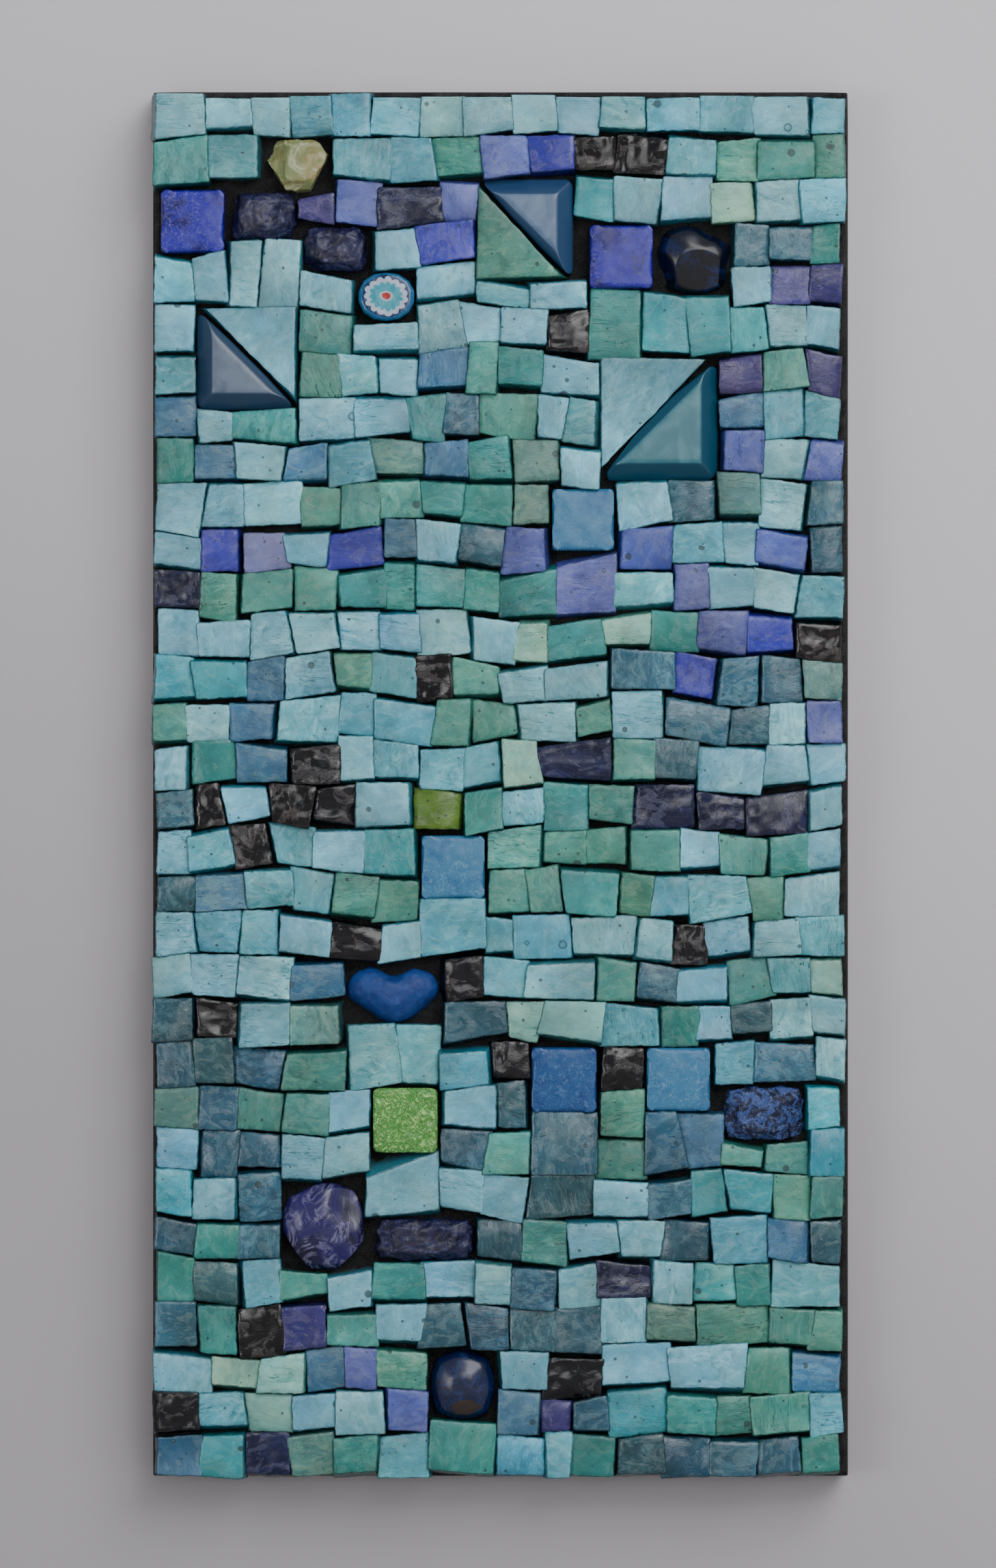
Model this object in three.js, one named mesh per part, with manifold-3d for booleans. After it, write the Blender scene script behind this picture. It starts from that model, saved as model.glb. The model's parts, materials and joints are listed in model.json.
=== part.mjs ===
// A tall mosaic panel: hand-cut glass tesserae and a few stones, laid in wavy courses
// on a black adhesive bed over a flat board.
//
// Millimetres, +Z up. The panel hangs upright and faces -Y. The origin is the middle of
// the board's flat back.
import * as THREE from "three";
import { mergeVertices } from "three/addons/utils/BufferGeometryUtils.js";
import Module from "manifold-3d";

// ---- driving dimensions -------------------------------------------------------------

const PANEL_WIDTH = 220;
const PANEL_HEIGHT = 438;
const BOARD_DEPTH = 12;
const BED_DEPTH = 4;
const BED_INSET = 0.8; // how far the bed stops short of the board's edges

const COURSES = 32;
const TILE_WIDTH = 14.5;
const LONG_SHARE = 0.1; // share of the tiles that are long ones
const TILE_RELIEF = 6.6; // how far a tile's face stands above the bed, at its middle
const RELIEF_SPREAD = 1.0;
const LEAST_RELIEF = 4.6;
const LEAST_HEIGHT = 7.6; // a course places no tile lower than this
const LEAST_RUN = 5.6; // a stretch narrower than this stays bare adhesive

const DROP = 0.8; // how far a tile's lower edge strays from its course
const TILE_TURN = 0.07; // slope by which a tile's cuts stray from square to the course
const ODD_DROP = 2.7; // and that of an odd tile
const ODD_SHARE = 0.2;

const GAP = 0.34; // clear width between a tile and what was laid before it
const CLEAR = 0.8; // and beside a piece that stands higher or lower than its course
const JOIN = 0.2; // how far neighbours in one run reach into each other at the bed
const STEP_LIMIT = 2.6; // a step in the edge above that a tile doesn't straddle
const STEP_NOTICED = 0.7; // a smaller step that a joint is moved to
const STEP_NEAR = 3.2; // from at most this far
const FILLER_GAP = 0.7; // between a glass triangle and the tile cut to fill its corner
const STEEPEST = 0.15; // slope of a tile's upper edge
const SIDE_LEAN = 0.035; // how much a sawn side leans in, for each millimetre of relief
const CLEFT_LEAN = 0.2; // and a broken one
const FACE_TILT = 0.075;

const SWAY = 1.3; // height of the waves in the courses
const LONG_WAVE = 96;
const SHORT_WAVE = 47;
const LONG_DRIFT = 0.38; // how far the waves move along from one course to the next
const SHORT_DRIFT = 0.83;
const EDGE_OVERHANG = 1.1;
const EDGE_SHORTFALL = 1.5;
const TOP_MARGIN = 0.9;
const TOP_MARGIN_RIGHT = 2.6;
const BOTTOM_MARGIN = 0.8;

const MOST_RUNS = 38; // separate bodies that the ordinary tesserae may form
const MERGE = 0.05; // vertices that a fused run can lose without its surface moving more
const SEED = 20431;

const BED_FRONT = BOARD_DEPTH + BED_DEPTH;
const HALF_WIDTH = PANEL_WIDTH / 2;
const HALF_HEIGHT = PANEL_HEIGHT / 2;
const PITCH = (PANEL_HEIGHT - TOP_MARGIN - BOTTOM_MARGIN) / COURSES;

// ---- finishes -----------------------------------------------------------------------

const finish = (color, roughness, metalness = 0, more = {}) =>
  new THREE.MeshStandardMaterial({ color, roughness, metalness, ...more });

const FINISHES = {
  board: finish(0x17181a, 0.6),
  adhesive: finish(0x101113, 0.85),
  smalti: [finish(0x8dbcc4, 0.3), finish(0x6f9ea2, 0.3), finish(0x7db0ba, 0.3)],
  blueGlass: finish(0x2f5f85, 0.08, 0, { transparent: true, opacity: 0.9 }),
  cobaltTile: finish(0x3439a0, 0.35),
  skyTile: finish(0x5f9cc4, 0.4),
  midBlueTile: finish(0x2f66a8, 0.4),
  jadeStone: finish(0x9aaa7c, 0.5),
  sodalite: finish(0x262b4d, 0.35),
  agate: finish(0x11182c, 0.1),
  lapis: finish(0x27498c, 0.45),
  cabochon: finish(0x16305c, 0.12),
  cane: finish(0x5fa3c4, 0.2),
  foil: finish(0x5fae5a, 0.25, 0.6),
};

// ---- small helpers ------------------------------------------------------------------

// A seeded random source, so that the panel is the same each time.
function randomSource(seed) {
  let state = seed >>> 0;
  return () => {
    state = (state + 0x6d2b79f5) >>> 0;
    let t = state;
    t = Math.imul(t ^ (t >>> 15), t | 1);
    t ^= t + Math.imul(t ^ (t >>> 7), t | 61);
    return ((t ^ (t >>> 14)) >>> 0) / 4294967296;
  };
}

const random = randomSource(SEED);
const between = (low, high) => low + (high - low) * random();
const about = (middle, spread) => between(middle - spread, middle + spread);
const clamp = (value, low, high) => Math.min(high, Math.max(low, value));

// A point on the panel: x to the right, z up, and relief outwards from the bed's face.
const onPanel = ({ x, z }, relief) => [x, -BED_FRONT - relief, z];

const wasm = await Module();
wasm.setup();

function solidFrom(positions, triangles) {
  return new wasm.Manifold(
    new wasm.Mesh({
      numProp: 3,
      vertProperties: new Float32Array(positions),
      triVerts: new Uint32Array(triangles),
    }),
  );
}

// A closed solid from rings with equally many corners, each counter-clockwise as seen
// from the front: rings[0] lies on the bed and the last one is the face.
function stackSolid(rings) {
  const corners = rings[0].length;
  const triangles = [];
  for (let level = 0; level < rings.length - 1; level++)
    for (let i = 0; i < corners; i++) {
      const j = (i + 1) % corners;
      const low = level * corners;
      const high = low + corners;
      triangles.push(low + i, low + j, high + j, low + i, high + j, high + i);
    }
  const face = (rings.length - 1) * corners;
  for (let i = 1; i < corners - 1; i++) {
    triangles.push(face, face + i, face + i + 1);
    triangles.push(0, i + 1, i);
  }
  return solidFrom(rings.flat(2), triangles);
}

// ---- the courses --------------------------------------------------------------------

// The wanted height of a course's lower edge. The waves die out at both ends of the panel.
function courseLine(course, x) {
  const level = HALF_HEIGHT - TOP_MARGIN - (course + 1) * PITCH;
  const swell = SWAY * Math.sqrt(Math.sin((Math.PI * (course + 1)) / COURSES));
  const long = Math.sin((2 * Math.PI * x) / LONG_WAVE + LONG_DRIFT * course);
  const short = Math.sin((2 * Math.PI * x) / SHORT_WAVE - SHORT_DRIFT * course);
  return level + swell * (long + 0.6 * short);
}

// The lower edge of everything laid so far, sampled across the panel.
const SAMPLE = 0.2;
const REACH = HALF_WIDTH + 3;
const skyline = Array.from({ length: Math.round((2 * REACH) / SAMPLE) + 1 }, (_, i) => {
  const across = (i * SAMPLE) / (2 * REACH);
  return HALF_HEIGHT - TOP_MARGIN - (TOP_MARGIN_RIGHT - TOP_MARGIN) * across ** 3;
});
const indexAt = (x) => clamp(Math.round((x + REACH) / SAMPLE), 0, skyline.length - 1);
const xAt = (index) => index * SAMPLE - REACH;
const edgeAbove = (x0, x1) => skyline.slice(indexAt(x0), indexAt(x1) + 1);

// Lowers the skyline to a convex outline that was just laid.
function lay(outline) {
  const xs = outline.map((p) => p.x);
  for (let i = indexAt(Math.min(...xs)); i <= indexAt(Math.max(...xs)); i++) {
    const x = xAt(i);
    outline.forEach((a, n) => {
      const b = outline[(n + 1) % outline.length];
      if ((a.x - x) * (b.x - x) > 0 || a.x === b.x) return;
      const z = a.z + ((b.z - a.z) * (x - a.x)) / (b.x - a.x);
      skyline[i] = Math.min(skyline[i], z);
    });
    for (const p of outline)
      if (Math.abs(p.x - x) <= SAMPLE) skyline[i] = Math.min(skyline[i], p.z);
  }
}

// The steepest allowed line that hangs just below the skyline between x0 and x1.
function upperEdge(x0, x1) {
  const above = edgeAbove(x0 - GAP, x1 + GAP);
  const third = Math.max(1, Math.floor(above.length / 3));
  const mean = (values) => values.reduce((sum, v) => sum + v, 0) / values.length;
  const rise = mean(above.slice(-third)) - mean(above.slice(0, third));
  const slope = clamp((1.5 * rise) / (x1 - x0), -STEEPEST, STEEPEST);
  const first = xAt(indexAt(x0 - GAP));
  const level = Math.min(...above.map((z, i) => z - slope * (first + i * SAMPLE)));
  return { level: level - GAP, slope };
}

const edgeHeight = (edge, x) => edge.level + edge.slope * x;

// Where a near-level edge meets a near-upright side. A side is x = at + lean * (z - from).
function meet(edge, side) {
  const z =
    (edge.level + edge.slope * (side.at - side.lean * side.from)) /
    (1 - edge.slope * side.lean);
  return { x: side.at + side.lean * (z - side.from), z };
}

// ---- one tessera --------------------------------------------------------------------

// A tile's planes: its base outline, how much each side leans in, and a tilted face.
function tileShape(outline) {
  const centre = {
    x: outline.reduce((sum, p) => sum + p.x, 0) / outline.length,
    z: outline.reduce((sum, p) => sum + p.z, 0) / outline.length,
  };
  const cleft = Math.floor(random() * outline.length);
  const second = random() < 0.35 ? Math.floor(random() * outline.length) : cleft;
  const leans = outline.map((_, i) =>
    i === cleft || i === second
      ? about(CLEFT_LEAN, 0.07)
      : about(SIDE_LEAN, 0.02),
  );
  const face = {
    relief: about(TILE_RELIEF, RELIEF_SPREAD),
    tiltX: about(0, FACE_TILT),
    tiltZ: about(0, FACE_TILT),
  };
  return { outline, centre, leans, face };
}

// The face's outline, where the leaning sides meet the tilted face.
function faceRing(base, { centre, leans, face }) {
  const planes = base.map((p, i) => {
    const q = base[(i + 1) % base.length];
    const length = Math.hypot(q.x - p.x, q.z - p.z);
    const nx = (q.z - p.z) / length;
    const nz = -(q.x - p.x) / length;
    const lean = leans[i];
    return {
      a: nx + lean * face.tiltX,
      b: nz + lean * face.tiltZ,
      c:
        nx * p.x +
        nz * p.z -
        lean * (face.relief - face.tiltX * centre.x - face.tiltZ * centre.z),
    };
  });
  return planes.map((next, i) => {
    const last = planes[(i + planes.length - 1) % planes.length];
    const det = last.a * next.b - next.a * last.b;
    const x = (last.c * next.b - next.c * last.b) / det;
    const z = (last.a * next.c - next.a * last.c) / det;
    const relief =
      face.relief + face.tiltX * (x - centre.x) + face.tiltZ * (z - centre.z);
    return onPanel({ x, z }, Math.max(LEAST_RELIEF, relief));
  });
}

function tileSolid(tile) {
  const { outline, joinLeft, joinRight } = tile;
  const base = outline.map((p, i) => {
    const left = i === 0 || i === 3;
    const push = left ? (joinLeft ? -JOIN : 0) : joinRight ? JOIN : 0;
    return outline.length === 4 ? { x: p.x + push, z: p.z } : p;
  });
  return stackSolid([base.map((p) => onPanel(p, 0)), faceRing(base, tile)]);
}

// ---- laying the tiles ---------------------------------------------------------------

const tiles = []; // every ordinary tessera, in the order it is laid
let nextRun = 0;

// Parts a stretch into tiles, a few of them long: the x where each tile ends, moved to a
// step in the edge above where one is near, and whether the cut is then upright.
function splitStretch(from, to) {
  const count = Math.max(1, Math.round((to - from) / TILE_WIDTH));
  const shares = Array.from({ length: count }, () =>
    random() < LONG_SHARE ? about(1.5, 0.15) : about(0.97, 0.14),
  );
  const total = shares.reduce((sum, share) => sum + share, 0);
  let at = from;
  return shares.map((share, n) => {
    at += (share * (to - from)) / total;
    if (n === count - 1) return { at: to, upright: true };
    const step = stepNear(at);
    return { at: step ?? at, upright: step !== null };
  });
}

// Where a tile may end beside the largest step of the skyline close to x, if there is one.
function stepNear(x) {
  let largest = STEP_NOTICED;
  let at = null;
  for (let i = indexAt(x - STEP_NEAR); i < indexAt(x + STEP_NEAR); i++) {
    const step = skyline[i + 1] - skyline[i];
    if (Math.abs(step) < largest) continue;
    largest = Math.abs(step);
    at = step > 0 ? xAt(i) + CLEAR : xAt(i + 1) - CLEAR;
  }
  return at;
}

// The stretches that a course has to fill: each is a list of pieces, parted where the
// edge above steps, and it ends at a panel edge or at something laid before.
function stretches(course) {
  const open = (i) => skyline[i] - courseLine(course, xAt(i)) >= LEAST_HEIGHT;
  const first = indexAt(-HALF_WIDTH + between(-EDGE_OVERHANG, EDGE_SHORTFALL));
  const last = indexAt(HALF_WIDTH - between(-EDGE_OVERHANG, EDGE_SHORTFALL));
  const found = [];
  for (let i = first; i <= last; i++) {
    if (!open(i)) continue;
    const from = xAt(i) + (i > first ? CLEAR : 0);
    const cuts = [];
    while (i < last && open(i + 1)) {
      const step = skyline[i + 1] - skyline[i];
      if (Math.abs(step) > STEP_LIMIT) cuts.push(step > 0 ? xAt(i) + CLEAR : xAt(i + 1) - CLEAR);
      i++;
    }
    const to = xAt(i) - (i < last ? CLEAR : 0);
    const kept = cuts.filter((x) => x - from > LEAST_RUN && to - x > LEAST_RUN);
    if (to - from > LEAST_RUN) found.push([from, ...kept, to]);
  }
  return found;
}

function layRun(course, bounds) {
  const run = nextRun++;
  const laid = [];
  const middle = courseLine(course, bounds[0]) + PITCH / 2;
  let side = { at: bounds[0], lean: 0, from: middle };
  for (let piece = 0; piece < bounds.length - 1; piece++) {
    for (const cut of splitStretch(bounds[piece], bounds[piece + 1])) {
      const tile = nextTile(course, side, cut);
      laid.push({ ...tile, run, joinLeft: laid.length > 0, joinRight: true });
      side = tile.right;
    }
  }
  laid.at(-1).joinRight = false;
  laid.forEach((tile) => lay(tile.outline));
  tiles.push(...laid);
}

// One tile between the side already made and the next cut.
function nextTile(course, side, { at: end, upright }) {
  const bottomCourse = course === COURSES - 1;
  const centre = (side.at + end) / 2;
  const width = end - side.at;
  const along = (courseLine(course, end) - courseLine(course, side.at)) / width;
  const turn = about(0, TILE_TURN);
  const slope = bottomCourse ? 0 : clamp(along + turn, -STEEPEST, STEEPEST);
  const wanted = courseLine(course, centre) + about(0, random() < ODD_SHARE ? ODD_DROP : DROP);
  const level = bottomCourse ? Math.max(wanted, -HALF_HEIGHT + BOTTOM_MARGIN) : wanted;
  const lower = { level: level - slope * centre, slope };
  const lean = upright ? 0 : about(-slope, TILE_TURN);
  const swing = PITCH / 2 + 1;
  const upper = upperEdge(
    side.at - Math.abs(side.lean) * swing,
    end + Math.abs(lean) * swing,
  );
  const from = (edgeHeight(upper, end) + edgeHeight(lower, end)) / 2;
  const right = { at: end, lean, from };
  const outline = [
    meet(lower, side),
    meet(lower, right),
    meet(upper, right),
    meet(upper, side),
  ];
  return { ...tileShape(outline), course, right };
}

// Makes the skyline ready for the next course: it ends level where tiles hang over the
// panel's sides, and slots too narrow for a tile are left bare.
function settleSkyline() {
  const inset = EDGE_SHORTFALL + 1;
  const left = indexAt(-HALF_WIDTH + inset);
  const right = indexAt(HALF_WIDTH - inset);
  skyline.fill(skyline[left], 0, left);
  skyline.fill(skyline[right], right + 1);
  const slot = Math.round(LEAST_RUN / SAMPLE);
  const lowest = skyline.map((_, i) => Math.min(...skyline.slice(i, i + slot)));
  skyline.forEach((_, i) => {
    skyline[i] = Math.max(...lowest.slice(Math.max(0, i - slot + 1), i + 1));
  });
}

// ---- accents: the larger pieces set among the tesserae -------------------------------

// An outline from a radius at each of its corners, counter-clockwise from +X.
function roundOutline(width, height, corners, radiusAt) {
  return Array.from({ length: corners }, (_, i) => {
    const angle = (2 * Math.PI * (i + 0.5)) / corners;
    const radius = radiusAt(angle);
    return {
      x: (width / 2) * radius * Math.cos(angle),
      z: (height / 2) * radius * Math.sin(angle),
    };
  });
}

const superellipse = (power) => (angle) =>
  (Math.abs(Math.cos(angle)) ** power + Math.abs(Math.sin(angle)) ** power) **
  (-1 / power);

const square = (width, height) => [
  { x: -width / 2, z: -height / 2 },
  { x: width / 2, z: -height / 2 },
  { x: width / 2, z: height / 2 },
  { x: -width / 2, z: height / 2 },
];

// A triangle with its right angle in the given corner (1 or -1 along x and z), its tips
// rounded and its long side bulging a little.
function triangleOutline(width, height, cornerX, cornerZ, bulge) {
  const w = (cornerX * width) / 2;
  const h = (cornerZ * height) / 2;
  const tipA = { x: -w, z: h };
  const tipB = { x: w, z: -h };
  const trim = 0.06;
  const blend = (a, b, t) => ({ x: a.x + (b.x - a.x) * t, z: a.z + (b.z - a.z) * t });
  const bow = (t) => {
    const p = blend(tipB, tipA, t);
    const lift = bulge * 4 * t * (1 - t);
    return { x: p.x - cornerX * lift, z: p.z - cornerZ * lift };
  };
  const corner = { x: w, z: h };
  const points = [
    blend(corner, tipA, trim),
    blend(corner, tipA, 1 - trim),
    bow(1 - trim),
    bow(0.67),
    bow(0.33),
    bow(trim),
    blend(corner, tipB, 1 - trim),
    blend(corner, tipB, trim),
  ];
  return cornerX * cornerZ > 0 ? points : points.reverse();
}

// A heart-like bean: an ellipse with one notch in its upper side.
function beanOutline(width, height) {
  return roundOutline(width, height, 14, (angle) => {
    const notch = Math.exp(-(((angle - Math.PI / 2) / 0.32) ** 2));
    return superellipse(2.2)(angle) * (1 - 0.2 * notch);
  });
}

// Rings up a stone: each level has its relief and the share of the outline left there.
const PROFILES = {
  pebble: [[0, 0.86], [0.34, 1], [0.7, 0.86], [0.93, 0.55], [1, 0.2]],
  cabochon: [[0, 1], [0.4, 0.97], [0.75, 0.78], [1, 0.34]],
  chip: [[0, 1], [0.62, 0.96], [1, 0.62]],
  slice: [[0, 1], [0.88, 1], [1, 0.88]],
  pressedTile: [[0, 0.94], [0.74, 1], [1, 0.91]],
  gem: [[0, 1], [0.66, 0.99], [1, 0.8]],
};

function stoneSolid(stone) {
  const { outline, place, relief, profile } = stone;
  return stackSolid(
    PROFILES[profile].map(([up, share]) =>
      outline.map((p) =>
        onPanel({ x: place.x + share * p.x, z: place.z + share * p.z }, up * relief),
      ),
    ),
  );
}

const RIGHT_ANGLE = { topRight: [1, 1], lowerLeft: [-1, -1], lowerRight: [1, -1] };
const gem = (width, height, corner, bulge) => ({
  width,
  height,
  bulge,
  outline: triangleOutline(width, height, ...RIGHT_ANGLE[corner], bulge),
  cut: RIGHT_ANGLE[corner],
  profile: "gem",
  finish: "blueGlass",
});
const stone = (width, height, corners, power, profile, finishName) => ({
  width,
  height,
  outline: roundOutline(width, height, corners, superellipse(power)),
  profile,
  finish: finishName,
});
const bean = (width, height) => ({
  width,
  height,
  outline: beanOutline(width, height),
  profile: "cabochon",
  finish: "lapis",
});
const pressed = (size, finishName) => ({
  width: size,
  height: size,
  outline: square(size, size),
  profile: "pressedTile",
  finish: finishName,
});

// Each accent: the course whose upper edge it hangs from, its middle's x and its relief.
const accent = (name, course, x, relief, shape) => ({ name, course, x, relief, ...shape });
const ACCENTS = [
  accent("jade_chip", 1, -64, 7.5, stone(21, 17, 10, 3, "chip", "jadeStone")),
  accent("cobalt_tile_left", 2, -97, 6.5, pressed(20, "cobaltTile")),
  accent("sodalite_chip_upper", 2, -75, 7.8, stone(21, 15, 10, 4, "chip", "sodalite")),
  accent("blue_glass_triangle_top", 2, 8, 8, gem(29, 31, "topRight", 0.6)),
  accent("sodalite_chip_lower", 3, -52, 7.4, stone(20, 14, 10, 4, "chip", "sodalite")),
  accent("cobalt_tile_right", 3, 38, 6.5, pressed(20, "cobaltTile")),
  accent("agate_pebble", 3, 61, 8, stone(22, 21, 12, 3.2, "cabochon", "agate")),
  accent("patterned_cane_slice", 4, -36, 6.5, stone(18, 15.5, 14, 2.2, "slice", "cane")),
  accent("blue_glass_triangle_left", 5, -80, 8, gem(31, 31, "lowerLeft", 0.6)),
  accent("blue_glass_triangle_right", 6, 50, 8.2, gem(36, 37, "lowerRight", 1.8)),
  accent("sky_tile_upper", 9, 26, 6.3, pressed(19.5, "skyTile")),
  accent("sky_tile_middle", 17, -15, 6.3, pressed(20, "skyTile")),
  accent("lapis_bean", 20, -34, 8.2, bean(29, 18.5)),
  accent("mid_blue_tile", 22, 20, 6.4, pressed(20.5, "midBlueTile")),
  accent("sky_tile_lower", 22, 56, 6.3, pressed(20, "skyTile")),
  accent("green_foil_tile", 23, -30, 6.6, pressed(20.5, "foil")),
  accent("sodalite_block", 23, 83, 7.6, stone(25, 17, 8, 6, "chip", "sodalite")),
  accent("sodalite_pebble", 25, -56, 8.6, stone(25, 27, 12, 3, "pebble", "sodalite")),
  accent("sodalite_bar", 26, -24, 7.4, stone(30, 13.5, 8, 6, "chip", "sodalite")),
  accent("blue_cabochon", 29, -12, 8.4, stone(20, 22, 12, 2.8, "cabochon", "cabochon")),
];

// The cut tile that fills the corner left by a triangle's long side.
function fillingTile({ place, width, height, bulge, cut }, course) {
  const [cornerX, cornerZ] = cut;
  const shortfall = 2 * (bulge + FILLER_GAP);
  const inCorner = (alongX, alongZ) => ({
    x: place.x - cornerX * (width / 2 - alongX),
    z: place.z - cornerZ * (height / 2 - alongZ),
  });
  const points = [
    inCorner(0, 0),
    inCorner(width - shortfall, 0),
    inCorner(0, height - shortfall),
  ];
  const outline = cornerX * cornerZ > 0 ? points : points.reverse();
  return { ...tileShape(outline), course, run: nextRun++ };
}

function layAccent(piece) {
  const { width, height, course, x } = piece;
  const above = Math.min(...edgeAbove(x - width / 2 - GAP, x + width / 2 + GAP));
  piece.place = { x, z: above - GAP - height / 2 };
  if (piece.cut) tiles.push(fillingTile(piece, course));
  lay(square(width, height).map((p) => ({ x: p.x + x, z: p.z + piece.place.z })));
  settleSkyline();
}

for (let course = 0; course < COURSES; course++) {
  ACCENTS.filter((piece) => piece.course === course).forEach(layAccent);
  stretches(course).forEach((bounds) => layRun(course, bounds));
  settleSkyline();
}

// ---- joining runs until few enough bodies are left -----------------------------------

const BRIDGE_WIDTH = 2.2;
const BRIDGE_RELIEF = 1.1;
const BRIDGE_GRIP = 0.9;
const BRIDGE_SPAN = 2.4;
const LEVEL_OVERLAP = 4;

const spanOf = (tile) => {
  const xs = tile.outline.map((p) => p.x);
  return [Math.min(...xs), Math.max(...xs)];
};

// The heights where a vertical line at x enters and leaves a tile's outline.
function heightsAt({ outline }, x) {
  const zs = [];
  outline.forEach((a, n) => {
    const b = outline[(n + 1) % outline.length];
    if ((a.x - x) * (b.x - x) < 0)
      zs.push(a.z + ((b.z - a.z) * (x - a.x)) / (b.x - a.x));
  });
  return [Math.min(...zs), Math.max(...zs)];
}

// The narrow place where two tiles of different runs touch one above the other, if any.
function touchBetween(upper, lower) {
  const [a0, a1] = spanOf(upper);
  const [b0, b1] = spanOf(lower);
  const from = Math.max(a0, b0);
  const to = Math.min(a1, b1);
  if (to - from < LEVEL_OVERLAP) return null;
  const x = (from + to) / 2;
  const top = heightsAt(upper, x)[0];
  const bottom = heightsAt(lower, x)[1];
  if (top < bottom || top - bottom > BRIDGE_SPAN) return null;
  return { x, top, bottom, span: top - bottom };
}

function joinRuns() {
  const bridges = [];
  const size = new Map();
  tiles.forEach(({ run }) => size.set(run, (size.get(run) ?? 0) + 1));
  const stuck = new Set();
  while (size.size > MOST_RUNS && stuck.size < size.size) {
    const [smallest] = [...size]
      .filter(([run]) => !stuck.has(run))
      .reduce((least, entry) => (entry[1] < least[1] ? entry : least));
    let best = null;
    for (const mine of tiles.filter(({ run }) => run === smallest))
      for (const other of tiles.filter(({ run }) => run !== smallest))
        for (const [upper, lower] of [
          [mine, other],
          [other, mine],
        ]) {
          const touch = touchBetween(upper, lower);
          if (touch && (!best || touch.span < best.touch.span))
            best = { touch, into: other.run };
        }
    if (!best) {
      stuck.add(smallest);
      continue;
    }
    const { touch, into } = best;
    bridges.push({ ...touch, run: into });
    bridges.filter((bridge) => bridge.run === smallest).forEach((bridge) => (bridge.run = into));
    size.set(into, size.get(into) + size.get(smallest));
    size.delete(smallest);
    tiles.filter(({ run }) => run === smallest).forEach((tile) => (tile.run = into));
  }
  return bridges;
}

function bridgeSolid({ x, top, bottom }) {
  const half = BRIDGE_WIDTH / 2;
  const outline = [
    { x: x - half, z: bottom - BRIDGE_GRIP },
    { x: x + half, z: bottom - BRIDGE_GRIP },
    { x: x + half, z: top + BRIDGE_GRIP },
    { x: x - half, z: top + BRIDGE_GRIP },
  ];
  return stackSolid([0, BRIDGE_RELIEF].map((relief) => outline.map((p) => onPanel(p, relief))));
}

// ---- the scene graph ----------------------------------------------------------------

const panel = new THREE.Group();

function addSolid(name, solid, material) {
  const mesh = solid.asOriginal().simplify(MERGE).getMesh();
  const geometry = new THREE.BufferGeometry();
  geometry.setAttribute("position", new THREE.BufferAttribute(mesh.vertProperties, 3));
  geometry.setIndex(new THREE.BufferAttribute(mesh.triVerts, 1));
  geometry.computeVertexNormals();
  const part = new THREE.Mesh(mergeVertices(geometry), material);
  part.name = name;
  panel.add(part);
}

function addSlab(name, width, height, depth, back, material) {
  const part = new THREE.Mesh(new THREE.BoxGeometry(width, depth, height), material);
  part.position.set(0, -back - depth / 2, 0);
  part.name = name;
  panel.add(part);
}

function addTesserae() {
  const bridges = joinRuns();
  const runs = Map.groupBy(tiles, ({ run }) => run);
  const counts = new Map();
  [...runs.keys()]
    .sort((a, b) => a - b)
    .forEach((run, n) => {
      const members = runs.get(run);
      const solid = [
        ...members.map(tileSolid),
        ...bridges.filter((bridge) => bridge.run === run).map(bridgeSolid),
      ].reduce((whole, next) => whole.add(next));
      const course = String(members[0].course + 1).padStart(2, "0");
      const copy = (counts.get(course) ?? 0) + 1;
      counts.set(course, copy);
      const name = `tesserae_course_${course}` + (copy > 1 ? `_part_${copy}` : "");
      addSolid(name, solid, FINISHES.smalti[n % FINISHES.smalti.length]);
    });
}

addSlab("backing_board", PANEL_WIDTH, PANEL_HEIGHT, BOARD_DEPTH, 0, FINISHES.board);
addSlab(
  "adhesive_bed",
  PANEL_WIDTH - 2 * BED_INSET,
  PANEL_HEIGHT - 2 * BED_INSET,
  BED_DEPTH,
  BOARD_DEPTH,
  FINISHES.adhesive,
);
addTesserae();
for (const piece of ACCENTS) addSolid(piece.name, stoneSolid(piece), FINISHES[piece.finish]);

export default panel;
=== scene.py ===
"""A tall mosaic panel: hand-cut glass and stones pressed in wavy courses into black adhesive.

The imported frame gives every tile's cut, and this script gives each one its broken edges, its
uneven face and its glass. Lengths are in metres, except where a name says millimetres.
"""

from __future__ import annotations

import itertools
import json
import logging
import math
import random
from dataclasses import dataclass, field
from enum import Enum
from typing import Iterable, Sequence

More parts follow.
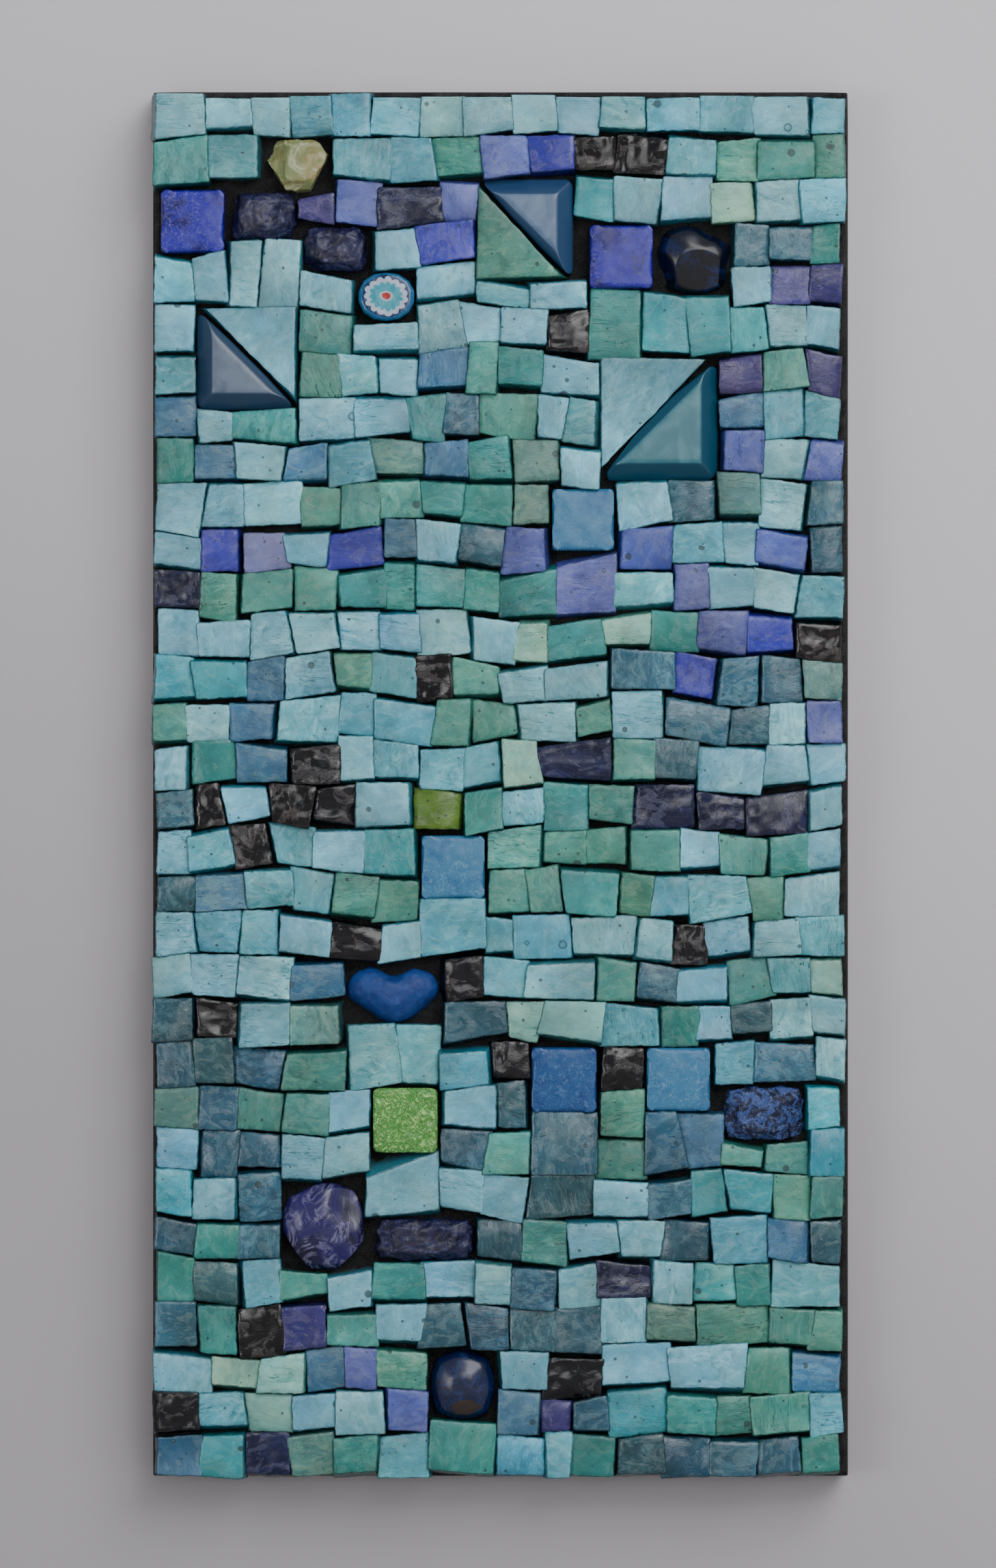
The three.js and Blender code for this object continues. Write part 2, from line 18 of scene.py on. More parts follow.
import bmesh
import bpy
import numpy as np
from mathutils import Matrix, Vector

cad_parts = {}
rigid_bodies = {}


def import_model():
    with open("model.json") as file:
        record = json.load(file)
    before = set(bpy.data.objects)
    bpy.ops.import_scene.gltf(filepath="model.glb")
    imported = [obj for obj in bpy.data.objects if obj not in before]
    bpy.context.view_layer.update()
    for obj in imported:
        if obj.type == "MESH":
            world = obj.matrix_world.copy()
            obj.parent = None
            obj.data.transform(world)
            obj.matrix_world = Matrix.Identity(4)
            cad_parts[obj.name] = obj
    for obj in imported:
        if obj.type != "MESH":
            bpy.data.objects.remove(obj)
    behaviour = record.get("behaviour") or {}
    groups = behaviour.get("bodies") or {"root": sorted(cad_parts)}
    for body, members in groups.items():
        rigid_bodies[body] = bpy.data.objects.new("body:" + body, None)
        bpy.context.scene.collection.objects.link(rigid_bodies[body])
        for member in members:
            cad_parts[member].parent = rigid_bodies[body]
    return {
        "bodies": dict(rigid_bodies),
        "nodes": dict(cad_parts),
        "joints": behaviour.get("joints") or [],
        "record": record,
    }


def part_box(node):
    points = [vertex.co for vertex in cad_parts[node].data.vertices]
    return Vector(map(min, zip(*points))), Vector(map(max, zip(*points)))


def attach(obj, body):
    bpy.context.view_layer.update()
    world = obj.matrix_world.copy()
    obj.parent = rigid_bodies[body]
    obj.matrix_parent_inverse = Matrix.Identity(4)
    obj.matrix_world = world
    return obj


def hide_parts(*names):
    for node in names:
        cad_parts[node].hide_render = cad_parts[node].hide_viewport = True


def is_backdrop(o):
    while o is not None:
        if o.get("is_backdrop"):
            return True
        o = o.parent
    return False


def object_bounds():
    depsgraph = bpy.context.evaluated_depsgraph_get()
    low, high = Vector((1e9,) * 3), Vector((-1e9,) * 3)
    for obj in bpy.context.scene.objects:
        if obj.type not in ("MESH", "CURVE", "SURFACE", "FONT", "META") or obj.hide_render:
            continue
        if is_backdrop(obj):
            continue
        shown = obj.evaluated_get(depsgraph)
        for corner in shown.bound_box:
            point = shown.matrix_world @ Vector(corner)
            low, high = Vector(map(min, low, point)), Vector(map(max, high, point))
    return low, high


log = logging.getLogger("mosaic_panel")

MM = 0.001
BODY = "root"
BED_FRONT = -0.016  # where the flat of the adhesive lies
LEAST_FACE = -0.0195  # every tile's face stands in front of this
SEED = 5107

Socket = bpy.types.NodeSocket
Tree = bpy.types.NodeTree
Colour = tuple[float, float, float]

RICHNESS = 1.46  # the display thins colours out, so swatches are mixed this much richer
LIFT = 0.885  # and this much darker
LUMA = (0.21, 0.72, 0.07)  # how much red, green and blue add to a grey
DARKEST, PALEST = 0.0005, 0.95
ON_FACE = 0.999  # points of the master tile above this level lie on its face


def glass(red: int, green: int, blue: int) -> Colour:
    """Gives the linear colour of a swatch matched in display values, 0 to 255."""
    linear = [((c / 255 + 0.055) / 1.055) ** 2.4 for c in (red, green, blue)]
    grey = sum(share * c for share, c in zip(LUMA, linear))
    return tuple(min(PALEST, max(DARKEST, (grey + (c - grey) * RICHNESS) * LIFT)) for c in linear)


# ---- even noise --------------------------------------------------------------------------

SPREAD = (73856093, 19349663, 83492791)  # large primes, one to a direction
SHUFFLE, SEED_STEP, SEED_START = 1274126177, 7919, 12345
WHOLE, HALF = 0x7FFFFFFF, 0xFFFF  # how many bits are kept


def lattice(cells: np.ndarray, seed: int) -> np.ndarray:
    """Gives each cell of a whole-number grid a fixed value.

    Args:
        cells: Whole numbers, three to a cell.
        seed: Picks one of many such grids.

    Returns:
        A value from 0 to 1 for each cell.
    """
    mixed = cells[..., 0] * SPREAD[0] ^ cells[..., 1] * SPREAD[1] ^ cells[..., 2] * SPREAD[2]
    mixed = (mixed ^ (seed * SEED_STEP + SEED_START)) & WHOLE
    mixed = ((mixed ^ (mixed >> 13)) * SHUFFLE) & WHOLE
    return ((mixed ^ (mixed >> 16)) & HALF) / float(HALF)


def swell(points: np.ndarray, period: float, seed: int, octaves: int = 1) -> np.ndarray:
    """Gives smooth noise at each point.

    Args:
        points: Places, three numbers to a row.
        period: Rough distance between two swells.
        seed: Picks one of many such noises.
        octaves: How many finer layers are added, each half as strong.

    Returns:
        A value from about -1 to 1 for each point.
    """
    total = np.zeros(len(points))
    for octave in range(octaves):
        scaled = points * 2.0**octave / period
        base = np.floor(scaled).astype(np.int64)
        part = scaled - base
        part = part * part * (3 - 2 * part)
        layer = np.zeros(len(points))
        for corner in itertools.product((0, 1), repeat=3):
            weight = np.prod(np.where(np.array(corner), part, 1 - part), axis=1)
            layer += weight * lattice(base + np.array(corner), seed + octave)
        total += (2 * layer - 1) * 0.5**octave
    return total


# ---- laying out shaders ------------------------------------------------------------------


class Bench:
    """Sets shader nodes in one tree and joins them."""

    def __init__(self, tree: Tree) -> None:
        """Takes the tree to work in."""
        self.tree = tree

    def add(self, kind: str, settings: dict | None = None, **inputs: object) -> bpy.types.Node:
        """Adds a node.

        Args:
            kind: The node's type, without ShaderNode.
            settings: Properties of the node.
            **inputs: A socket to join, or a value, for each input; "_" stands for a space.

        Returns:
            The new node.
        """
        node = self.tree.nodes.new("ShaderNode" + kind)
        for name, value in (settings or {}).items():
            setattr(node, name, value)
        for name, value in inputs.items():
            self.feed(node.inputs[name.replace("_", " ")], value)
        return node

    def feed(self, socket: Socket, value: object) -> None:
        """Joins a socket to an input, or sets the input to a value."""
        if isinstance(value, bpy.types.NodeSocket):
            self.tree.links.new(value, socket)
        elif socket.type == "RGBA" and len(value) == 3:
            socket.default_value = (*value, 1.0)
        else:
            socket.default_value = value

    def math(self, operation: str, *values: object, clamp: bool = False) -> Socket:
        """Works out one number from others."""
        node = self.add("Math", {"operation": operation, "use_clamp": clamp})
        for socket, value in zip(node.inputs, values):
            self.feed(socket, value)
        return node.outputs[0]

    def times(self, first: object, second: object, clamp: bool = False) -> Socket:
        """Multiplies two numbers."""
        return self.math("MULTIPLY", first, second, clamp=clamp)

    def from_half(self, value: Socket) -> Socket:
        """Gives how far a number is from 0.5, the middle of a noise."""
        return self.math("ABSOLUTE", self.math("SUBTRACT", value, 0.5))

    def blend(self, factor: object, first: object, second: object, mode: str = "MIX") -> Socket:
        """Mixes two colours."""
        node = self.add("Mix", {"data_type": "RGBA", "blend_type": mode})
        for index, value in ((0, factor), (6, first), (7, second)):
            self.feed(node.inputs[index], value)
        return node.outputs[2]

    def ramp(self, value: object, low: float, high: object, start: float = 0, end: float = 1) -> Socket:
        """Maps a range onto another with soft ends."""
        node = self.add(
            "MapRange", {"interpolation_type": "SMOOTHSTEP"}, Value=value, From_Min=low, From_Max=high,
            To_Min=start, To_Max=end,
        )
        return node.outputs[0]

    def stretch(self, vector: Socket, scale: Sequence[float], place: Sequence[float] = (0, 0, 0)) -> Socket:
        """Moves and scales a vector."""
        node = self.add("Mapping", Vector=vector, Location=tuple(place), Scale=tuple(scale))
        return node.outputs[0]

    def noise(self, vector: Socket, scale: float, detail: float = 2, twist: float = 0,
              rough: float = 0.5) -> Socket:
        """Adds a cloudy noise from 0 to 1."""
        node = self.add("TexNoise", Vector=vector, Scale=scale, Detail=detail, Roughness=rough,
                        Distortion=twist)
        return node.outputs[0]

    def lines(self, noise: Socket, width: object) -> Socket:
        """Draws thin lines where a noise passes its middle."""
        return self.ramp(self.from_half(noise), 0, width, 1, 0)

    def frontal(self, low: float, high: float) -> Socket:
        """Gives 1 where a surface looks to the front, falling to 0 where it is turned away."""
        facing = self.add("SeparateXYZ", Vector=self.add("NewGeometry").outputs["Normal"]).outputs[1]
        return self.ramp(self.times(facing, -1), low, high)

    def attribute(self, name: str, output: str = "Vector") -> Socket:
        """Reads one of the piece's own attributes."""
        return self.add("Attribute", {"attribute_name": name}).outputs[output]

    def object_place(self) -> Socket:
        """Gives the place on the object in millimetres."""
        place = self.add("TexCoord").outputs["Object"]
        return self.add("VectorMath", {"operation": "SCALE"}, Vector=place, Scale=1 / MM).outputs[0]

    def bump(self, height: Socket, depth: float, strength: float = 1.0) -> Socket:
        """Turns a height into a normal."""
        return self.add("Bump", Height=height, Distance=depth, Strength=strength).outputs[0]


class Effect:
    """A shared effect under construction: a group that takes a place and puts out numbers."""

    def __init__(self, name: str, **inputs: float) -> None:
        """Starts the group.

        Args:
            name: The group's name.
            **inputs: What it takes besides the place, and where each stands at first.
        """
        self.tree = bpy.data.node_groups.new(name, "ShaderNodeTree")
        self.bench = Bench(self.tree)
        self._socket("Place", "INPUT", "Vector")
        for label, value in inputs.items():
            self._socket(label, "INPUT").default_value = value
        self.given = self.tree.nodes.new("NodeGroupInput").outputs

    def _socket(self, label: str, side: str, kind: str = "Float") -> bpy.types.NodeTreeInterfaceSocket:
        """Adds a socket to the group."""
        return self.tree.interface.new_socket(label, in_out=side, socket_type="NodeSocket" + kind)

    def close(self, **outputs: Socket) -> Tree:
        """Puts the results out, and gives the group."""
        for label in outputs:
            self._socket(label, "OUTPUT")
        target = self.tree.nodes.new("NodeGroupOutput")
        for label, value in outputs.items():
            self.bench.feed(target.inputs[label], value)
        return self.tree


class Effects:
    """The effects that several finishes share, each built once."""

    def __init__(self) -> None:
        """Builds every group."""
        self.veins = self._veins()
        self.pinholes = self._pinholes()
        self.rim = self._rim()
        self.speckle = self._speckle()
        self.marbling = self._marbling()

    def _veins(self) -> Tree:
        """Builds the hairline strokes, clouds and wisps of poured glass, and sharp-edged patches of painted
        reflection.
        """
        effect = Effect("poured_glass", Streak=0.5, Cloud=0.5)
        bench, place, cloudy = effect.bench, effect.given["Place"], effect.given["Cloud"]
        drawn = bench.noise(bench.stretch(place, (0.11, 0.62, 1)), 1, 4, 0.5, 0.6)
        frosted = bench.noise(bench.stretch(place, (1, 1.4, 1), (11, 3, 2)), 0.5, 4, 0.6, 0.7)
        patchy = bench.ramp(bench.noise(place, 0.15, 2), 0.4, 0.6)
        hair = bench.times(bench.lines(drawn, 0.016), bench.ramp(patchy, 0.4, 1))
        long = bench.noise(bench.stretch(place, (0.05, 0.34, 1), (7, 3, 1)), 1, 5, 0.2, 0.7)
        bands = bench.times(bench.ramp(long, 0.47, 0.7), 0.75)
        torn = bench.noise(bench.stretch(place, (0.03, 0.4, 1), (3, 5, 8)), 1, 3, 0.15, 0.5)
        crack = bench.times(bench.lines(torn, 0.011), bench.ramp(bench.noise(place, 0.11, 1), 0.5, 0.56))
        strongest = bench.math("MAXIMUM", bench.times(hair, 1.1), bands)
        strongest = bench.math("MAXIMUM", strongest, bench.times(crack, 2.2))
        stroke = bench.times(strongest, effect.given["Streak"], clamp=True)
        # sharp-edged patches of painted reflection, used most on dark glass
        shell = bench.noise(bench.stretch(place, (0.8, 1.1, 1), (8, 2, 5)), 0.17, 4, 1.2, 0.55)
        reflection_patch = bench.times(bench.ramp(shell, 0.54, 0.57), bench.ramp(frosted, 0.42, 0.52, 0.5, 1))
        cloud = bench.noise(bench.stretch(place, (0.9, 1.1, 1)), 0.2, 6, 0.9, 0.66)
        dark = bench.times(bench.ramp(cloud, 0.49, 0.68), cloudy)
        wisp = bench.noise(bench.stretch(place, (0.6, 1.1, 1), (2, 9, 4)), 0.16, 6, 1.3, 0.72)
        frost = bench.noise(bench.stretch(place, (1, 1.6, 1), (5, 1, 7)), 0.8, 5, 0.4, 0.75)
        frost = bench.times(bench.ramp(frost, 0.52, 0.66), bench.ramp(patchy, 0, 1, 0.3, 1))
        pale = bench.math("MAXIMUM", bench.ramp(wisp, 0.47, 0.63, 0, 0.9), frost)
        pale = bench.times(pale, cloudy, clamp=True)
        height = bench.math("ADD", cloud, bench.times(pale, 0.35))
        height = bench.math("SUBTRACT", height, bench.times(stroke, 0.5))
        height = bench.math("ADD", height, bench.times(reflection_patch, 0.4))
        return effect.close(Stroke=stroke, Dark=dark, Pale=pale, Flake=reflection_patch, Height=height)

    def _pinholes(self) -> Tree:
        """Builds the round bubbles that the saw opened, some of them only rings."""
        effect = Effect("pinholes", Amount=0.3)
        bench = effect.bench
        cells = bench.add("TexVoronoi", {"feature": "F1", "voronoi_dimensions": "2D"},
                          Vector=effect.given["Place"], Scale=0.16).outputs
        parts = bench.add("SeparateColor", Color=cells["Color"]).outputs
        chosen = bench.math("LESS_THAN", parts[0], effect.given["Amount"])
        radius = bench.math("MULTIPLY_ADD", bench.math("POWER", parts[1], 4), 0.2, 0.05)
        depth = bench.math("DIVIDE", cells["Distance"], radius)
        hole = bench.ramp(depth, 0.75, 1.1, 1, 0)
        ring = bench.times(hole, bench.ramp(depth, 0.45, 0.8, 0.25, 1))
        open_hole = bench.math("GREATER_THAN", parts[2], 0.2)
        shape = bench.add("Mix", {"data_type": "FLOAT"})
        for index, value in ((0, open_hole), (2, ring), (3, hole)):
            bench.feed(shape.inputs[index], value)
        return effect.close(Mask=bench.times(shape.outputs[0], chosen))

    def _rim(self) -> Tree:
        """Builds the dirty line along a cut edge, the pale line beside it, which is rubbed wear and painted
        sheen, and the side below it, which gets painted shade towards its foot.
        """
        effect = Effect("cut_edge", Rim=1)
        bench, rim = effect.bench, effect.given["Rim"]
        ragged = bench.noise(effect.given["Place"], 0.9, 3)
        moved = bench.math("ADD", rim, bench.math("MULTIPLY_ADD", ragged, 0.5, -0.25))
        dirt = bench.ramp(bench.math("ABSOLUTE", moved), 0.05, 0.5, 1, 0)
        # a pale line inside the edge: rubbed wear and painted sheen
        rubbed_and_sheen = bench.ramp(bench.from_half(moved), 0.02, 0.3, 1, 0)
        # the last two mark a tile's sides, and how far down a side painted shade deepens towards the adhesive
        return effect.close(
            Dirt=bench.times(dirt, bench.ramp(ragged, 0.3, 0.6, 0.3, 1)),
            Rubbed=bench.times(rubbed_and_sheen, bench.ramp(ragged, 0.45, 0.62)),
            Side=bench.ramp(rim, -0.5, -0.05, 1, 0), Deep=bench.ramp(rim, -5.2, -1.2, 1, 0),
        )

    def _speckle(self) -> Tree:
        """Builds the pale grains of pressed glass, in two sizes."""
        effect = Effect("pressed_grain", Amount=0.5)
        bench, place = effect.bench, effect.given["Place"]
        fine = bench.ramp(bench.noise(place, 1.9, 4, 0.6, 0.75), 0.5, 0.68)
        fine = bench.times(fine, bench.ramp(bench.noise(place, 0.22, 3, 0.8), 0.35, 0.65, 0.35, 1))
        coarse = bench.ramp(bench.noise(place, 0.35, 6, 1.6, 0.78), 0.53, 0.66)
        grain = bench.times(bench.math("MAXIMUM", fine, coarse), effect.given["Amount"])
        return effect.close(Grain=grain, Patch=bench.ramp(bench.noise(place, 0.12, 3, 0.7), 0.42, 0.66))

    def _marbling(self) -> Tree:
        """Builds the branching veins and the clouds of a stone."""
        effect = Effect("marbling", Scale=0.2, Width=0.05)
        bench, place = effect.bench, effect.given["Place"]
        scaled = bench.add("VectorMath", {"operation": "SCALE"}, Vector=place,
                           Scale=effect.given["Scale"]).outputs[0]
        vein = bench.lines(bench.noise(scaled, 1, 5, 1.4, 0.62), effect.given["Width"])
        broken = bench.ramp(bench.noise(scaled, 1.7, 3), 0.38, 0.6)
        return effect.close(Vein=bench.times(vein, broken), Cloud=bench.noise(scaled, 0.7, 5, 0.8, 0.65),
                            Grit=bench.noise(place, 3.1, 3))


class Finish:
    """A material under construction: its bench, its shader and its surface."""

    def __init__(self, name: str, **shader: object) -> None:
        """Starts a material whose shader sockets hold plain values."""
        self.material = bpy.data.materials.new(name)
        self.material.use_nodes = True
        tree = self.material.node_tree
        tree.nodes.clear()
        self.bench = Bench(tree)
        self.shader = self.bench.add("BsdfPrincipled", **shader)
        out = self.bench.add("OutputMaterial")
        tree.links.new(self.shader.outputs[0], out.inputs[0])

    def group(self, tree: Tree, **inputs: object) -> bpy.types.Node:
        """Places a shared effect."""
        return self.bench.add("Group", {"node_tree": tree}, **inputs)

    def surface(self, **inputs: object) -> bpy.types.Material:
        """Joins what the nodes worked out to the shader, and gives the material."""
        for name, value in inputs.items():
            self.bench.feed(self.shader.inputs[name.replace("_", " ")], value)
        return self.material


# ---- the glasses -------------------------------------------------------------------------


class Glass(Enum):
    """The families of hand-cut glass in the courses."""

    PALE_AQUA = "pale aqua"
    AQUA = "aqua"
    TURQUOISE = "turquoise"
    MINT = "mint"
    SEA_GREEN = "sea green"
    JADE_GREEN = "jade green"
    SAGE = "sage"
    SLATE = "slate"
    STEEL_BLUE = "steel blue"
    PERIWINKLE = "periwinkle"
    LILAC = "lilac"
    COBALT = "cobalt"
    VIOLET = "violet"
    MIDNIGHT = "midnight"
    BLACK = "black"
    OLIVE = "olive"


G = Glass


@dataclass(frozen=True)
class GlassFinish:
    """How one family of glass looks."""

    tone: Colour
    stroke: Colour  # its hairlines and bands
    # its paler glass, also the colour of the painted reflection patches
    wisp: Colour
    streak: float = 0.5
    cloud: float = 0.5
    pits: float = 0.12
    dull: float = 0.34  # roughness of a face
    drift: float = 0.13  # how far single tiles stray from the tone
    waves: float = 0.16  # unevenness of a face, in millimetres


# the family, its tone, stroke and wisp as swatches, then the other fields of its finish in their order
GLASSES: dict[Glass, GlassFinish] = {
    kind: GlassFinish(*(glass(*swatch) for swatch in swatches), *rest)
    for kind, swatches, *rest in (
        (G.PALE_AQUA, ((134, 178, 191), (62, 112, 124), (170, 211, 220)), 0.5, 0.8),
        (G.AQUA, ((112, 163, 175), (50, 100, 114), (152, 198, 206)), 0.5, 0.85),
        (G.TURQUOISE, ((92, 152, 161), (46, 104, 114), (128, 180, 184)), 0.5, 0.8),
        (G.MINT, ((146, 183, 173), (82, 128, 120), (172, 206, 190)), 0.5, 0.8, 0.3),
        (G.SEA_GREEN, ((78, 130, 126), (38, 86, 86), (110, 160, 152)), 0.45, 0.9),
        (G.JADE_GREEN, ((91, 137, 129), (46, 90, 85), (122, 164, 150)), 0.6, 0.9, 0.2),
        (G.SAGE, ((90, 122, 117), (45, 76, 76), (122, 150, 138)), 0.6, 0.9, 0.2),
        (G.SLATE, ((59, 87, 101), (28, 49, 62), (96, 124, 134)), 0.6, 1.0, 0.16, 0.16, 0.18, 0.26),
        (G.STEEL_BLUE, ((72, 104, 130), (40, 68, 94), (108, 140, 158)), 0.5, 0.9),
        (G.PERIWINKLE, ((86, 94, 150), (52, 54, 112), (114, 122, 172)), 0.4, 0.8, 0.2),
        (G.LILAC, ((118, 122, 160), (76, 78, 122), (142, 146, 180)), 0.3, 0.6, 0.3),
        (G.COBALT, ((56, 58, 146), (32, 30, 102), (84, 84, 160)), 0.4, 0.9, 0.2, 0.24),
        (G.VIOLET, ((58, 54, 100), (32, 28, 62), (88, 80, 122)), 0.5, 0.9, 0.2, 0.24),
        (G.MIDNIGHT, ((15, 18, 46), (7, 8, 20), (48, 52, 90)), 0.5, 0.6, 0.1, 0.2, 0.2, 0.6),
        # black's wisp is the brownish grey of painted reflection patches
        (G.BLACK, ((8, 8, 12), (4, 4, 6), (52, 46, 47)), 0.4, 0.26, 0.08, 0.15, 0.22, 0.75),
        (G.OLIVE, ((104, 128, 74), (60, 80, 44), (132, 154, 100)), 0.5, 0.8, 0.1, 0.28),
    )
}


@dataclass(frozen=True)
class Zone:
    """An area of the panel, in millimetres, and the glasses laid in it.

    Areas run from the whole panel down to one tile, and the first that holds a place counts.
    """

    left: float
    right: float
    bottom: float
    top: float
    mix: dict[Glass, float]

    def holds(self, x: float, z: float) -> bool:
        """Says whether a place lies in the zone."""
        return self.left <= x <= self.right and self.bottom <= z <= self.top


EDGE = 130.0  # well past either side of the board
ZONES: tuple[Zone, ...] = (
    Zone(-EDGE, EDGE, 205, 230, {G.PALE_AQUA: 6, G.AQUA: 3}),
    Zone(-EDGE, -94, 192, 205, {G.SEA_GREEN: 1}),
    Zone(-94, 0, 190, 205, {G.SEA_GREEN: 5, G.PALE_AQUA: 3, G.AQUA: 2}),
    Zone(0, 28, 190, 205, {G.PERIWINKLE: 4, G.COBALT: 3, G.LILAC: 2}),
    Zone(28, 56, 190, 205, {G.BLACK: 4, G.LILAC: 3, G.MIDNIGHT: 3}),
    Zone(56, EDGE, 190, 205, {G.JADE_GREEN: 4, G.SEA_GREEN: 4, G.AQUA: 3}),
    Zone(-60, 0, 172, 190, {G.VIOLET: 5, G.MIDNIGHT: 2, G.BLACK: 2, G.PERIWINKLE: 2}),
    Zone(30, EDGE, 176, 190, {G.PALE_AQUA: 6, G.AQUA: 3, G.MINT: 2}),
    Zone(94, EDGE, 163, 176, {G.SEA_GREEN: 1}),
    Zone(66, 94, 163, 176, {G.SAGE: 4, G.SLATE: 2, G.SEA_GREEN: 2}),
    Zone(72, EDGE, 150, 163, {G.MIDNIGHT: 3, G.VIOLET: 3, G.PALE_AQUA: 3}),
    Zone(-30, 14, 158, 172, {G.JADE_GREEN: 3, G.PALE_AQUA: 4, G.COBALT: 3, G.AQUA: 2}),
    Zone(-EDGE, EDGE, 148, 172, {G.PALE_AQUA: 7, G.AQUA: 4, G.SEA_GREEN: 1, G.SLATE: 1, G.MINT: 1}),
    Zone(-20, 30, 118, 148, {G.PALE_AQUA: 3, G.BLACK: 4, G.STEEL_BLUE: 3, G.SEA_GREEN: 2, G.MIDNIGHT: 1}),
    Zone(68, EDGE, 118, 134, {G.VIOLET: 4, G.LILAC: 3, G.JADE_GREEN: 3, G.PALE_AQUA: 2}),
    Zone(-70, -20, 118, 148, {G.LILAC: 2, G.JADE_GREEN: 3, G.PALE_AQUA: 4, G.VIOLET: 2, G.AQUA: 2}),
    Zone(-EDGE, -20, 104, 118, {G.SEA_GREEN: 6, G.PALE_AQUA: 3, G.STEEL_BLUE: 2}),
    Zone(40, EDGE, 92, 106, {G.PERIWINKLE: 1}),
    Zone(50, EDGE, 78, 92, {G.SLATE: 6, G.PALE_AQUA: 2, G.SAGE: 2}),
    Zone(-EDGE, -40, 64, 92, {G.JADE_GREEN: 5, G.PALE_AQUA: 4, G.LILAC: 2, G.COBALT: 2}),
    Zone(0, 70, 60, 80, {G.PERIWINKLE: 3, G.AQUA: 4, G.PALE_AQUA: 3, G.SLATE: 3}),
    Zone(0, 60, 38, 62, {G.MINT: 3, G.SLATE: 4, G.OLIVE: 2, G.BLACK: 2, G.SEA_GREEN: 4, G.PALE_AQUA: 3}),
    Zone(60, EDGE, 20, 50, {G.PERIWINKLE: 2, G.BLACK: 2, G.COBALT: 1, G.SAGE: 3, G.SLATE: 3, G.PALE_AQUA: 5}),
    Zone(-84, -20, -6, 36, {
        G.BLACK: 4, G.JADE_GREEN: 4, G.PALE_AQUA: 7, G.PERIWINKLE: 1, G.STEEL_BLUE: 2, G.AQUA: 3}),
    Zone(20, 70, -12, 26, {G.SEA_GREEN: 4, G.SLATE: 3, G.JADE_GREEN: 4, G.MIDNIGHT: 2, G.PALE_AQUA: 3}),
    Zone(-EDGE, -60, -62, -6, {G.PALE_AQUA: 6, G.SLATE: 2, G.BLACK: 2, G.STEEL_BLUE: 3, G.AQUA: 3}),
    Zone(0, EDGE, -50, -12, {G.JADE_GREEN: 6, G.PALE_AQUA: 6, G.AQUA: 4, G.SEA_GREEN: 3}),
    Zone(-EDGE, 10, -74, -50, {G.PALE_AQUA: 4, G.STEEL_BLUE: 4, G.BLACK: 3, G.COBALT: 1, G.AQUA: 3}),
    Zone(-EDGE, -40, -128, -88, {G.SLATE: 6, G.JADE_GREEN: 4, G.PALE_AQUA: 3, G.SAGE: 3}),
    Zone(-20, 60, -146, -98, {G.SLATE: 5, G.JADE_GREEN: 4, G.PALE_AQUA: 4, G.SAGE: 3}),
    Zone(60, EDGE, -150, -98, {G.STEEL_BLUE: 3, G.TURQUOISE: 4, G.JADE_GREEN: 4, G.SLATE: 3, G.AQUA: 2}),
    Zone(-20, 40, -190, -150, {G.BLACK: 3, G.PALE_AQUA: 6, G.MIDNIGHT: 3, G.SLATE: 2, G.OLIVE: 0.7}),
    Zone(40, EDGE, -196, -160, {G.JADE_GREEN: 6, G.PALE_AQUA: 5, G.SAGE: 3, G.STEEL_BLUE: 2}),
    Zone(-60, -10, -206, -180, {G.PALE_AQUA: 4, G.PERIWINKLE: 3, G.STEEL_BLUE: 2, G.JADE_GREEN: 3}),
    Zone(-10, 20, -206, -190, {G.VIOLET: 4, G.STEEL_BLUE: 3}),
    Zone(20, EDGE, -230, -206, {G.SLATE: 6, G.SEA_GREEN: 4, G.AQUA: 1}),
    Zone(-EDGE, EDGE, -230, 230, {
        G.PALE_AQUA: 22, G.AQUA: 12, G.TURQUOISE: 3, G.MINT: 3, G.SEA_GREEN: 7, G.JADE_GREEN: 6, G.SAGE: 2,
        G.SLATE: 5, G.STEEL_BLUE: 2, G.PERIWINKLE: 1, G.BLACK: 2, G.MIDNIGHT: 1, G.VIOLET: 0.6, G.OLIVE: 0.3,
    }),
)
REFLECTION_GREY = (0.13, 0.128, 0.13)  # painted reflection: the grey of a glossy patch on dark glass
# deeper tint of the glass and painted shade, multiplied into a tile's sides
SIDE_TINT_AND_SHADE = (0.62, 0.8, 0.8)
FOOT_SHADE = (0.004, 0.006, 0.007)  # painted shade: what a side darkens to towards its foot
GRIME = (0.012, 0.018, 0.018)  # dirt along an edge
BUBBLE = (0.02, 0.045, 0.05)
SAME_AGAIN = 0.16  # how often a tile is cut from the same piece of glass as the one before
SCARCE = {G.COBALT, G.PERIWINKLE, G.LILAC, G.OLIVE, G.STEEL_BLUE}  # never twice running


# ---- reading the cuts off the frame ------------------------------------------------------


@dataclass
class Cut:
    """One tile as it is cut: the corners of its face and of its foot, from lower left on."""

    face: np.ndarray
    foot: np.ndarray
    filler: bool = False  # whether it is cut to fill the corner beside a glass triangle
    seed: int = 0
    kind: Glass = Glass.PALE_AQUA

    @property
    def middle(self) -> np.ndarray:
        """Gives the middle of the face."""
        return self.face.mean(axis=0)


